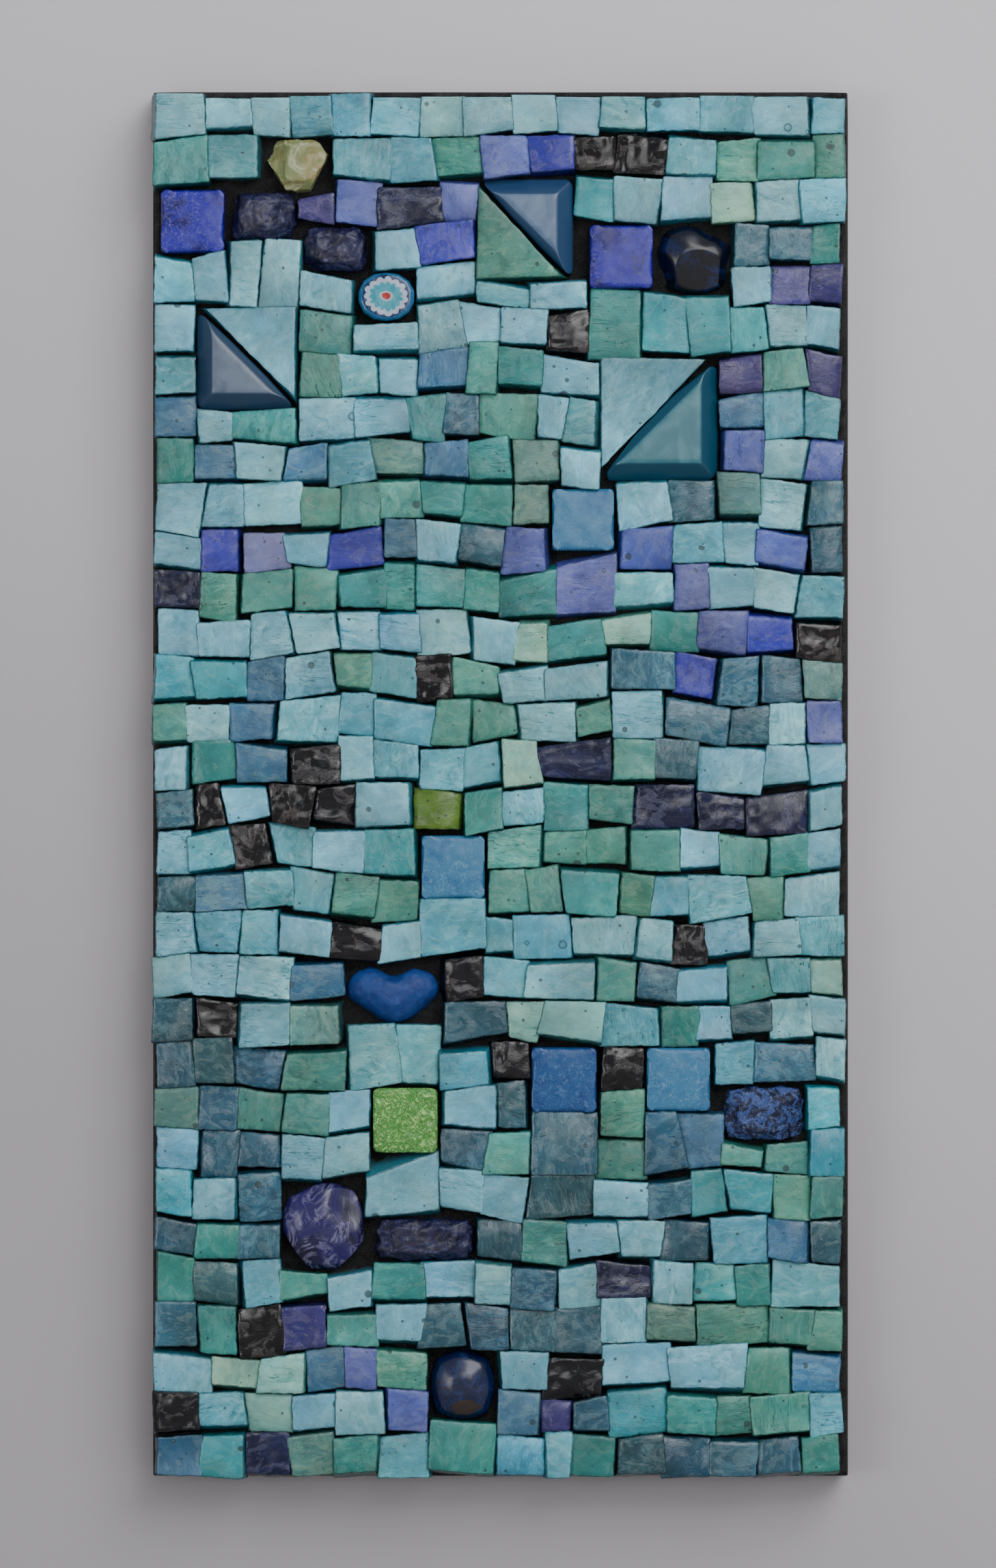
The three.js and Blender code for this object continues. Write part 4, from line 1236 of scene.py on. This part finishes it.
@dataclass
class Stone:
    """A stone shaped from the solid that the frame gives it."""

    node: str
    slot: str
    voxel: float = 0.5 * MM
    smoothing: int = 6
    hollows: tuple[tuple[float, float], ...] = ()  # how deep and how far apart, in millimetres
    ridged: bool = False
    facets: int = 0  # flat breaks, struck at random
    # outward direction, and how deep it cuts in millimetres
    bevels: tuple[tuple[float, float, float, float], ...] = ()
    # place across and up, size, and depth, in shares of the stone
    dents: tuple[tuple[float, float, float, float], ...] = ()
    grow: float = 1.0
    square: float = 0.0  # how far its outline is drawn out into the corners of its box
    soften: int = 0  # smoothing after the breaks
    seed: int = 3

    def build(self, frame: dict, material: bpy.types.Material) -> bpy.types.Object:
        """Shapes and dresses the stone.

        Args:
            frame: The loaded frame.
            material: The stone's finish.

        Returns:
            The piece.
        """
        piece = copy_solid(frame, self.node)
        apply_modifier(piece, "REMESH", mode="VOXEL", voxel_size=self.voxel)
        if self.smoothing:
            apply_modifier(piece, "SMOOTH", factor=0.6, iterations=self.smoothing)
        points = coordinates(piece)
        self._strike(points)
        place_points(piece, points)
        if self.soften:
            apply_modifier(piece, "SMOOTH", factor=0.6, iterations=self.soften)
        points, normals = coordinates(piece), point_normals(piece)
        front = np.clip((BED_FRONT - points[:, 1]) / (1.5 * MM), 0, 1)
        for depth, period in self.hollows:
            waves = swell(points, period * MM, self.seed, 2)
            waves = np.abs(waves) if self.ridged else (waves + 1) / 2
            points -= normals * (np.clip(waves, 0, 1.4) * (depth * MM) * front)[:, None]
        place_points(piece, points)
        take(piece)
        bpy.ops.object.shade_smooth()
        return settle(piece, self.node + "_set", [self.node], [material])

    def _strike(self, points: np.ndarray) -> None:
        """Widens the stone, then takes flat breaks off it."""
        middle = (points.min(axis=0) + points.max(axis=0)) / 2
        half = (points.max(axis=0) - points.min(axis=0))[[0, 2]] / 2
        shares = np.abs(points[:, [0, 2]] - middle[[0, 2]]) / half
        drawn = (np.linalg.norm(shares, axis=1) / np.maximum(shares.max(axis=1), 1e-6)) ** self.square
        points[:, [0, 2]] = middle[[0, 2]] + (points[:, [0, 2]] - middle[[0, 2]]) * drawn[:, None] * self.grow
        dice = random.Random(self.seed)
        cuts = [(np.array(bevel[:3]), bevel[3] * MM) for bevel in self.bevels]
        for _ in range(self.facets):
            turn, rise = dice.uniform(0, math.tau), dice.uniform(0.0, 1.6)
            cuts.append((np.array([math.cos(turn), -rise, math.sin(turn)]), dice.uniform(0.5, 2.6) * MM))
        for direction, depth in cuts:
            direction = direction / np.linalg.norm(direction)
            reach = (points - middle) @ direction
            over = np.maximum(0, reach - (reach.max() - depth))
            points -= over[:, None] * direction
        half = (points.max(axis=0) - points.min(axis=0)) / 2
        for across, up, size, depth in self.dents:
            spot = middle[[0, 2]] + np.array([across, up]) * half[[0, 2]]
            away = points[:, [0, 2]] - spot
            near = np.exp(-(away**2).sum(axis=1) / (size * half[0])**2) * depth * half[0]
            inward = (middle[[0, 2]] - spot) / np.linalg.norm(middle[[0, 2]] - spot)
            points[:, [0, 2]] += near[:, None] * inward
            points[:, 1] += near * 0.35


@dataclass
class PressedTile:
    """A machine-pressed glass square with a bevelled, slightly crowned face."""

    node: str
    slot: str
    bevel: float = 1.3 * MM
    corner: float = 1.1 * MM
    crown: float = 0.25 * MM
    unevenness: float = 0.06 * MM
    seed: int = 11

    def build(self, material: bpy.types.Material) -> bpy.types.Object:
        """Models and dresses the square.

        Args:
            material: Its finish.

        Returns:
            The piece.
        """
        low, high = (np.array(corner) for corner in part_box(self.node))
        size, middle = high - low, (low + high) / 2
        piece = block(low, high)
        depths = coordinates(piece)[:, 1]
        bpy.ops.object.mode_set(mode="EDIT")
        select_where(piece, "EDGE", lambda e: np.ptp(depths[list(e.vertices)]) > size[1] / 2)
        bpy.ops.mesh.bevel(offset=self.corner, segments=4, affect="EDGES")
        select_where(piece, "FACE", lambda f: f.normal.y < -0.9)
        bpy.ops.mesh.bevel(offset=self.bevel, segments=4, affect="EDGES", profile=0.45)
        select_where(piece, "FACE", lambda f: f.normal.y < -0.99 and f.area > size[0] * size[2] * 0.3)
        bpy.ops.mesh.inset(thickness=0.5 * MM)
        bpy.ops.object.mode_set(mode="OBJECT")
        apply_modifier(piece, "REMESH", mode="VOXEL", voxel_size=0.42 * MM)
        apply_modifier(piece, "SMOOTH", factor=0.5, iterations=3)
        points = coordinates(piece)
        out = np.max(np.abs(points - middle)[:, [0, 2]] / (size[[0, 2]] / 2), axis=1)
        front = np.clip((BED_FRONT - points[:, 1]) / (2.0 * MM), 0, 1)
        sink = self.crown * out**2 + self.unevenness * (swell(points, 3.2 * MM, self.seed, 2) + 1)
        points[:, 1] += front * sink
        ragged = swell(points, 2.4 * MM, self.seed + 4, 2)[:, None] * 0.1 * MM * (out > 0.85)[:, None]
        points += ragged * np.array([1, 0, 1])
        place_points(piece, np.clip(points, low, high))
        take(piece)
        bpy.ops.object.shade_smooth()
        return settle(piece, self.node + "_set", [self.node], [material])


@dataclass(frozen=True)
class VitreousFinish:
    """The colours of a pressed square."""

    tone: Colour
    deep: Colour
    grain: Colour
    amount: float = 0.55

    def build(self, name: str, effects: Effects) -> bpy.types.Material:
        """Makes the grainy glass."""
        finish = Finish(name, IOR=1.5)
        bench = finish.bench
        place = bench.object_place()
        marks = finish.group(effects.speckle, Place=place, Amount=self.amount).outputs
        colour = bench.blend(marks["Patch"], self.tone, self.deep)
        colour = bench.blend(marks["Grain"], colour, self.grain)
        # painted shade: bevels and sides turned away from the front are darker
        flat = bench.frontal(0.55, 0.97)
        colour = bench.blend(flat, bench.blend(0.35, self.deep, self.tone), colour)
        rough = bench.math("MULTIPLY_ADD", marks["Grain"], 0.3, 0.2)
        return finish.surface(Base_Color=colour, Roughness=rough,
                              Normal=bench.bump(marks["Grain"], 0.05 * MM, 0.7))


@dataclass(frozen=True)
class StoneFinish:
    """The colours of a veined stone."""

    ground: Colour
    cloud: Colour
    vein: Colour
    scale: float = 0.2
    width: float = 0.05
    dull: float = 0.4
    relief: float = 0.15
    coat: float = 0.0
    vein_share: float = 1.0
    cloud_edge: tuple[float, float] = (0.4, 0.66)
    scar: tuple[float, float, float] | None = None  # a rough brown patch: its place and size, in millimetres

    def build(self, name: str, effects: Effects) -> bpy.types.Material:
        """Makes the stone."""
        finish = Finish(name, IOR=1.5, Coat_Weight=self.coat, Coat_Roughness=0.16)
        bench = finish.bench
        place = bench.object_place()
        marks = finish.group(effects.marbling, Place=place, Scale=self.scale, Width=self.width).outputs
        colour = bench.blend(bench.ramp(marks["Cloud"], *self.cloud_edge), self.ground, self.cloud)
        colour = bench.blend(bench.times(marks["Vein"], self.vein_share), colour, self.vein)
        rough = bench.math("MULTIPLY_ADD", marks["Grit"], 0.25, self.dull - 0.12)
        if self.scar:
            across, up, size = self.scar
            ways = bench.add("SeparateXYZ", Vector=place).outputs
            aside = bench.math("SUBTRACT", ways[0], across)
            over = bench.times(bench.math("SUBTRACT", ways[2], up), 1.7)
            off = bench.math("ADD", bench.math("POWER", aside, 2), bench.math("POWER", over, 2))
            edge = bench.math("MULTIPLY_ADD", bench.noise(place, 0.4, 5, 0.8), size * 1.6,
                              bench.math("SQRT", off))
            patch = bench.ramp(edge, size * 1.6, size * 1.75, 1, 0)
            brown = bench.blend(marks["Grit"], glass(16, 15, 17), glass(66, 54, 48))
            colour = bench.blend(patch, colour, brown)
            rough = bench.math("MULTIPLY_ADD", patch, 0.3, rough, clamp=True)
        height = bench.math("ADD", marks["Cloud"], bench.times(marks["Grit"], 0.25))
        return finish.surface(Base_Color=colour, Roughness=rough,
                              Normal=bench.bump(height, self.relief * MM, 0.8))


@dataclass
class CaneFinish:
    """The rings of a patterned cane: rim, dark ring, toothed crown, pool, and a red dot."""

    centre: Vector
    half_width: float
    half_height: float
    teeth: int = 15

    def build(self) -> bpy.types.Material:
        """Makes the patterned glass."""
        finish = Finish("patterned_cane_glass", Roughness=0.12, IOR=1.5)
        bench = finish.bench
        place = bench.add("TexCoord").outputs["Object"]
        centred = bench.add("VectorMath", {"operation": "SUBTRACT"}, Vector=place).outputs[0]
        centred.node.inputs[1].default_value = self.centre
        scaled = bench.stretch(centred, (1 / self.half_width, 0.0, 1 / self.half_height))
        wobble = bench.noise(scaled, 1.6, 2)
        parts = bench.add("SeparateXYZ", Vector=scaled).outputs
        squares = (bench.math("POWER", parts[axis], 2) for axis in (0, 2))
        radius = bench.math("SQRT", bench.math("ADD", *squares))
        radius = bench.math("ADD", radius, bench.math("MULTIPLY_ADD", wobble, 0.26, -0.13))
        angle = bench.math("ARCTAN2", parts[2], parts[0])
        tooth = bench.math("ABSOLUTE", bench.math("SINE", bench.times(angle, self.teeth / 2)))
        jagged = bench.math("SUBTRACT", radius, bench.times(tooth, 0.1))
        colour: object = glass(156, 50, 46)
        for distance, low, high, swatch in (
            (radius, 0.13, 0.17, (178, 194, 198)), (radius, 0.2, 0.24, (92, 152, 166)),
            (jagged, 0.49, 0.53, (184, 194, 208)), (jagged, 0.68, 0.72, (26, 34, 74)),
            (radius, 0.82, 0.87, (60, 98, 132)),
        ):
            colour = bench.blend(bench.ramp(distance, low, high), colour, glass(*swatch))
        fine = bench.noise(scaled, 14, 3)
        colour = bench.blend(bench.ramp(fine, 0.5, 0.8, 0, 0.4), colour, glass(120, 160, 186))
        return finish.surface(Base_Color=colour, Normal=bench.bump(fine, 0.05 * MM, 0.6))


@dataclass
class Accents:
    """The single stones and special glasses."""

    frame: dict
    effects: Effects

    def build(self) -> None:
        """Sets every one of them."""
        effects = self.effects
        cobalt = VitreousFinish(glass(46, 42, 142), glass(22, 17, 84), glass(104, 102, 174), 0.8)
        sky = VitreousFinish(glass(86, 124, 154), glass(70, 106, 142), glass(132, 168, 190), 0.6)
        mid = VitreousFinish(glass(52, 82, 126), glass(40, 63, 110), glass(104, 134, 170), 0.65)
        for nodes, slot, finish in (
            (("cobalt_tile_left", "cobalt_tile_right"), "cobalt_vitreous", cobalt),
            (("sky_tile_upper", "sky_tile_middle", "sky_tile_lower"), "sky_vitreous", sky),
            (("mid_blue_tile",), "mid_blue_vitreous", mid),
        ):
            material = finish.build(slot + "_glass", effects)
            for index, node in enumerate(nodes):
                PressedTile(node, slot, seed=11 + index * 7).build(material)
        self._stones()
        self._triangles()
        self._foil()
        self._cane()

    def _stones(self) -> None:
        """Sets the sodalite, the jade, the lapis, the agate and the cabochon."""
        sodalite = StoneFinish(glass(28, 28, 60), glass(18, 15, 32), glass(116, 122, 158), 0.3, 0.02, 0.42,
                               0.2, vein_share=0.55).build("sodalite_stone", self.effects)
        crystal = StoneFinish(glass(6, 10, 40), glass(62, 78, 126), glass(130, 148, 186), 0.46, 0.035, 0.62,
                              0.12, vein_share=0.7, cloud_edge=(0.46, 0.58)).build(
            "crystalline_sodalite_stone", self.effects)
        for node, material, facets, grow, square, seed in (
            ("sodalite_chip_upper", sodalite, 3, 1.05, 0.4, 21),
            ("sodalite_chip_lower", sodalite, 3, 1.05, 0.4, 22),
            ("sodalite_block", crystal, 1, 1.03, 0.7, 23),
            ("sodalite_bar", sodalite, 0, 1.03, 0.8, 25),
        ):
            Stone(node, "sodalite", smoothing=4, hollows=((0.9, 6), (0.4, 1.9)), ridged=True, facets=facets,
                  grow=grow, square=square, soften=2, seed=seed).build(self.frame, material)
        tumbled = StoneFinish(glass(40, 36, 86), glass(18, 16, 42), glass(124, 122, 148), 0.1, 0.06, 0.26,
                              0.1, 0.12, vein_share=0.8).build("tumbled_sodalite_stone", self.effects)
        Stone("sodalite_pebble", "sodalite", smoothing=12, hollows=((0.5, 8),), grow=1.07, soften=10, seed=24,
              bevels=((-0.9, 0, -0.6, 3), (0.7, 0, -0.7, 2), (-0.5, 0, 1, 1.5), (0.5, -1, 0.3, 2))).build(
            self.frame, tumbled)
        jade = StoneFinish(glass(134, 144, 112), glass(148, 138, 108), glass(178, 182, 156), 0.12, 0.07, 0.4,
                           0.25).build("jade_chip_stone", self.effects)
        Stone("jade_chip", "jade_stone", smoothing=4, hollows=((0.9, 6), (0.25, 1.6)), ridged=True, facets=4,
              bevels=((-0.8, 0, -0.5, 3.2), (0.85, 0, -0.45, 3.4), (0, 0, 1, 0.9), (0.3, -1, 0.2, 1.2)),
              grow=1.06, seed=44).build(self.frame, jade)
        lapis = StoneFinish(glass(40, 66, 122), glass(30, 50, 104), glass(76, 98, 146), 0.3, 0.03, 0.56, 0.25,
                            vein_share=0.4).build("lapis_stone", self.effects)
        Stone("lapis_bean", "lapis", smoothing=40, hollows=((0.7, 5), (0.2, 1.5)), grow=1.12, seed=43,
              dents=((0.05, 1.0, 0.28, 0.16), (-0.75, -0.8, 0.5, 0.22), (0.85, -0.7, 0.5, 0.2))).build(
            self.frame, lapis)
        agate = StoneFinish(glass(12, 16, 34), glass(7, 8, 13), glass(28, 40, 80), 0.07, 0.09, 0.27, 0.05,
                            0.15, 0.7).build("agate_stone", self.effects)
        Stone("agate_pebble", "agate", smoothing=40, hollows=((0.3, 9),), grow=1.08, soften=8, seed=47,
              bevels=((0.1, -1, -0.26, 1.7), (-0.8, -0.7, -0.3, 1.5), (0.9, -0.6, -0.2, 1.2)),
              dents=((0.6, 0.9, 0.5, 0.2),)).build(self.frame, agate)
        low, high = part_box("blue_cabochon")
        middle = (low + high) / 2 / MM
        scar = (middle.x + 1, middle.z - (high.z - low.z) / MM * 0.3, 4.6)
        cabochon = StoneFinish(glass(15, 24, 60), glass(19, 22, 44), glass(44, 62, 104), 0.1, 0.05, 0.3, 0.05,
                               0.35, 0.6, scar=scar).build("cabochon_stone", self.effects)
        Stone("blue_cabochon", "blue_cabochon_stone", smoothing=34, grow=1.04, seed=53).build(
            self.frame, cabochon)

    def _triangles(self) -> None:
        """Sets the three cast glass triangles."""
        slope, deep, diagonal = 1.1, 1.5, 0.707
        for name, tone, across, up in (
            ("top", glass(88, 106, 128), 1, 1), ("left", glass(88, 99, 114), -1, -1),
            ("right", glass(66, 106, 116), 1, -1),
        ):
            bevels = ((across, -slope, 0, deep), (0, -slope, up, deep),
                      (-across * diagonal, -slope, -up * diagonal, deep))
            finish = Finish(f"cast_glass_{name}", Roughness=0.34, IOR=1.5, Coat_Weight=0.15,
                            Coat_Roughness=0.12)
            bench = finish.bench
            place = bench.object_place()
            # painted shade on the bevels turned away from the front, and painted reflection in pale clouds on
            # the flat top
            flat = bench.frontal(0.86, 0.985)
            pale = tuple(c * 1.25 + 0.03 for c in tone)
            dark = tuple(c * share for c, share in zip(tone, (0.22, 0.42, 0.6)))
            cloud = bench.noise(place, 0.12, 4, 0.8)
            colour = bench.blend(flat, dark, bench.blend(bench.ramp(cloud, 0.38, 0.66), tone, pale))
            relief = bench.bump(bench.noise(place, 0.25, 2), 0.1 * MM, 0.5)
            Stone(f"blue_glass_triangle_{name}", "blue_glass", voxel=0.42 * MM, smoothing=4, soften=26,
                  bevels=bevels, grow=1.04, hollows=((0.12, 9),), seed=61).build(
                self.frame, finish.surface(Base_Color=colour, Normal=relief))

    def _foil(self) -> None:
        """Sets the tile of crumpled green foil under glass."""
        finish = Finish("green_foil_glass", Metallic=0.3, IOR=1.5, Coat_Weight=0.35, Coat_Roughness=0.12)
        bench = finish.bench
        place = bench.object_place()
        folds = bench.noise(place, 0.42, 4, 1.6, 0.55)
        crease = bench.from_half(folds)
        # the foil's green, paler between the fold lines as painted highlight and darker along them as painted
        # shade
        colour = bench.blend(bench.ramp(crease, 0.0, 0.13), glass(110, 162, 106), glass(190, 232, 168))
        # painted shade: surfaces turned away from the front are darker green
        flat = bench.frontal(0.1, 0.5)
        colour = bench.blend(flat, glass(56, 98, 46), colour)
        material = finish.surface(Base_Color=colour, Roughness=bench.ramp(folds, 0.3, 0.7, 0.24, 0.42),
                                  Normal=bench.bump(crease, 2.4 * MM, 1.0))
        PressedTile("green_foil_tile", "green_foil", bevel=0.9 * MM, corner=1.8 * MM, unevenness=0.3 * MM,
                    seed=71).build(material)

    def _cane(self) -> None:
        """Sets the slice of patterned cane."""
        low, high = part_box("patterned_cane_slice")
        size = high - low
        material = CaneFinish((low + high) / 2, size.x / 2, size.z / 2).build()
        Stone("patterned_cane_slice", "patterned_cane", voxel=0.4 * MM, smoothing=4,
              hollows=((0.1, 3),), seed=73).build(self.frame, material)


# ---- what they are set in ----------------------------------------------------------------


@dataclass
class AdhesiveBed:
    """The black, gritty layer that wells up between the tiles."""

    spacing: float = 1.25 * MM
    rise: float = 2.3 * MM
    lumps: float = 2.6 * MM

    def build(self) -> bpy.types.Object:
        """Models and dresses the layer."""
        low, top = (np.array(corner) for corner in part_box("adhesive_bed"))
        size = top - low
        deselect()
        columns, rows = (int(round(length / self.spacing)) for length in (size[0], size[2]))
        bpy.ops.mesh.primitive_grid_add(x_subdivisions=columns, y_subdivisions=rows, size=1,
                                        location=(0, 0, 0))
        piece = bpy.context.object
        flat = coordinates(piece)
        points = np.stack([flat[:, 0] * size[0], np.full(len(flat), low[1]), flat[:, 1] * size[2]], axis=1)
        points += np.array([(low[0] + top[0]) / 2, 0, (low[2] + top[2]) / 2])
        lumps = (swell(points, self.lumps, 5, 3) + 1) / 2
        inside = np.minimum(size[0] / 2 - np.abs(points[:, 0]), size[2] / 2 - np.abs(points[:, 2]))
        points[:, 1] -= np.clip(lumps, 0, 1.2) * self.rise * np.clip(inside / (2 * MM), 0.05, 1)
        place_points(piece, points)
        bpy.ops.object.mode_set(mode="EDIT")
        bpy.ops.mesh.select_mode(type="EDGE")
        bpy.ops.mesh.select_all(action="SELECT")
        bpy.ops.mesh.region_to_loop()
        bpy.ops.mesh.extrude_region_move()
        bpy.ops.transform.resize(value=(1, 0, 1), center_override=(0, float(top[1]), 0))
        close_up()
        bpy.ops.object.shade_smooth()
        finish = Finish("black_adhesive", IOR=1.46)
        bench = finish.bench
        place = bench.object_place()
        grit = bench.noise(place, 1.6, 5, 0.3, 0.7)
        dust = bench.ramp(bench.noise(place, 0.5, 5, 0.6, 0.7), 0.56, 0.72)
        colour = bench.blend(dust, (0.0035, 0.0035, 0.004), (0.016, 0.013, 0.011))
        material = finish.surface(Base_Color=colour, Roughness=bench.ramp(grit, 0.35, 0.7, 0.14, 0.6),
                                  Normal=bench.bump(grit, 0.7 * MM, 1.0))
        return settle(piece, "adhesive_layer", ["adhesive_bed"], [material])


@dataclass
class Board:
    """The flat board, painted black, with eased and slightly knocked edges."""

    ease: float = 0.5 * MM
    cuts: int = 44
    knocks: float = 0.25 * MM

    def build(self) -> bpy.types.Object:
        """Models and paints the board."""
        low, high = (np.array(corner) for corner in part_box("backing_board"))
        size = high - low
        piece = block(low, high)
        bpy.ops.object.mode_set(mode="EDIT")
        bpy.ops.mesh.select_all(action="SELECT")
        bpy.ops.mesh.bevel(offset=self.ease, segments=2, affect="EDGES")
        for axis, cuts in (((0, 0, 1), self.cuts), ((1, 0, 0), self.cuts // 2)):
            for step in range(1, cuts):
                bpy.ops.mesh.select_all(action="SELECT")
                bpy.ops.mesh.bisect(plane_co=tuple(low + size * (step / cuts)), plane_no=axis)
        bpy.ops.object.mode_set(mode="OBJECT")
        points = coordinates(piece)
        inner = (points - (low + high) / 2) / (size / 2)
        corner = np.sort(np.abs(inner), axis=1)[:, 1] > 0.97
        dents = np.clip(swell(points, 5 * MM, 81, 2), 0, 1) * self.knocks * corner
        points -= np.sign(inner) * dents[:, None]
        place_points(piece, points)
        take(piece)
        bpy.ops.object.shade_smooth_by_angle(angle=math.radians(40))
        finish = Finish("black_painted_board", IOR=1.46)
        bench = finish.bench
        place = bench.object_place()
        brushed = bench.noise(bench.stretch(place, (1, 1, 0.08)), 0.8, 5, 0.2, 0.65)
        worn = bench.ramp(bench.noise(place, 0.35, 6, 0.6, 0.75), 0.6, 0.74)
        colour = bench.blend(worn, (0.011, 0.010, 0.010), (0.045, 0.037, 0.031))
        material = finish.surface(Base_Color=colour, Roughness=bench.ramp(brushed, 0.3, 0.7, 0.42, 0.7),
                                  Normal=bench.bump(brushed, 0.15 * MM, 0.6))
        return settle(piece, "painted_board", ["backing_board"], [material])


# ---- the studio --------------------------------------------------------------------------


@dataclass
class Studio:
    """A pale wall and floor with painted shade towards the lower left, soft light from the upper right, and
    the camera.
    """

    view_height: float = 0.4963  # how much height the camera takes in at the board's front
    distance: float = 1.9
    board_front: float = -0.012
    wall_gap: float = 0.3 * MM
    floor_level: float = -0.34
    film: float = 36  # the height of the camera's film, in millimetres
    aside: float = -0.0008  # where the camera stands across

    def build(self) -> None:
        """Sets the studio up."""
        self._camera()
        self._backdrop()
        for name, place, size, power in (
            ("key", (0.75, -1.35, 1.1), 1.2, 21), ("window", (0.32, -1.75, 0.42), 0.8, 5.5),
            ("low_fill", (-1.1, -1.6, -0.2), 0.8, 9), ("back_fill", (-1.0, 1.6, 0.9), 1.4, 30),
        ):
            self._light(name, place, size, power)
        world = bpy.data.worlds.new("studio")
        bpy.context.scene.world = world
        world.use_nodes = True
        background = world.node_tree.nodes["Background"]
        background.inputs[0].default_value = (0.93, 0.95, 1.0, 1.0)
        background.inputs[1].default_value = 0.37

    def _camera(self) -> None:
        """Sets the camera square in front of the panel."""
        data = bpy.data.cameras.new("camera")
        data.sensor_fit = "VERTICAL"
        data.sensor_height = self.film
        data.lens = self.film * self.distance / self.view_height
        camera = bpy.data.objects.new("camera", data)
        bpy.context.collection.objects.link(camera)
        camera.location = (self.aside, self.board_front - self.distance, 0)
        camera.rotation_euler = (math.radians(90), 0, 0)
        bpy.context.scene.camera = camera

    def _light(self, name: str, place: tuple[float, float, float], size: float, power: float) -> None:
        """Hangs a soft square light that faces the panel."""
        data = bpy.data.lights.new(name, "AREA")
        data.shape = "SQUARE"
        data.size = size
        data.energy = power
        light = bpy.data.objects.new(name, data)
        bpy.context.collection.objects.link(light)
        light.location = place
        light.rotation_euler = (-Vector(place)).to_track_quat("-Z", "Y").to_euler()

    def _backdrop(self) -> None:
        """Puts up the wall, open from behind and where it touches the panel, and the floor."""
        for name, place, turn, tone in (
            ("wall", (0, self.wall_gap, 0.6), (math.radians(90), 0, 0), glass(226, 223, 226)),
            ("floor", (0, -1.0, self.floor_level), (0, 0, 0), glass(214, 212, 210)),
        ):
            deselect()
            bpy.ops.mesh.primitive_plane_add(size=4, location=place, rotation=turn)
            sheet = bpy.context.object
            bpy.ops.object.transform_apply(location=True, rotation=True, scale=True)
            sheet.name = name
            finish = Finish(name + "_paint", Roughness=0.85)
            bench = finish.bench
            mottle = bench.noise(bench.object_place(), 0.006, 4)
            ways = bench.add("SeparateXYZ", Vector=bench.object_place()).outputs
            # painted shade: wall and floor darken towards the lower left, as if the light fell off there
            slant = bench.math("ADD", bench.times(ways[0], 0.8), ways[2])
            painted_lighting = bench.ramp(slant, -300, 330)
            shade = tuple(c * 0.63 for c in tone)
            mixed = bench.math("MULTIPLY_ADD", mottle, 0.06, bench.math("SUBTRACT", 0.97, painted_lighting), clamp=True)
            finish.surface(Base_Color=bench.blend(mixed, tone, shade))
            if name == "wall":
                self._open_back(finish)
            sheet.data.materials.append(finish.material)
            sheet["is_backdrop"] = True

    def _open_back(self, finish: Finish) -> None:
        """Lets the wall be seen through from behind, and lets the panel's back have light."""
        bench = finish.bench
        tree = finish.material.node_tree
        near = bench.math("LESS_THAN", bench.add("LightPath").outputs["Ray Length"], 3 * self.wall_gap)
        behind = bench.add("NewGeometry").outputs["Backfacing"]
        through = bench.math("MAXIMUM", near, behind)
        mix = bench.add("MixShader")
        clear = bench.add("BsdfTransparent").outputs[0]
        for socket, value in zip(mix.inputs, (through, finish.shader.outputs[0], clear)):
            bench.feed(socket, value)
        target = next(node for node in tree.nodes if node.type == "OUTPUT_MATERIAL")
        tree.links.new(mix.outputs[0], target.inputs[0])


def main() -> None:
    """Builds the panel piece by piece."""
    logging.basicConfig(level=logging.INFO, format="%(message)s")
    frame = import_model()
    low, high = (np.array(corner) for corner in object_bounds())
    Studio().build()
    effects = Effects()
    Board().build()
    AdhesiveBed().build()
    Courses(frame, effects, low, high).build()
    Accents(frame, effects).build()
    deselect()
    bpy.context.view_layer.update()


if __name__ == "__main__":
    main()
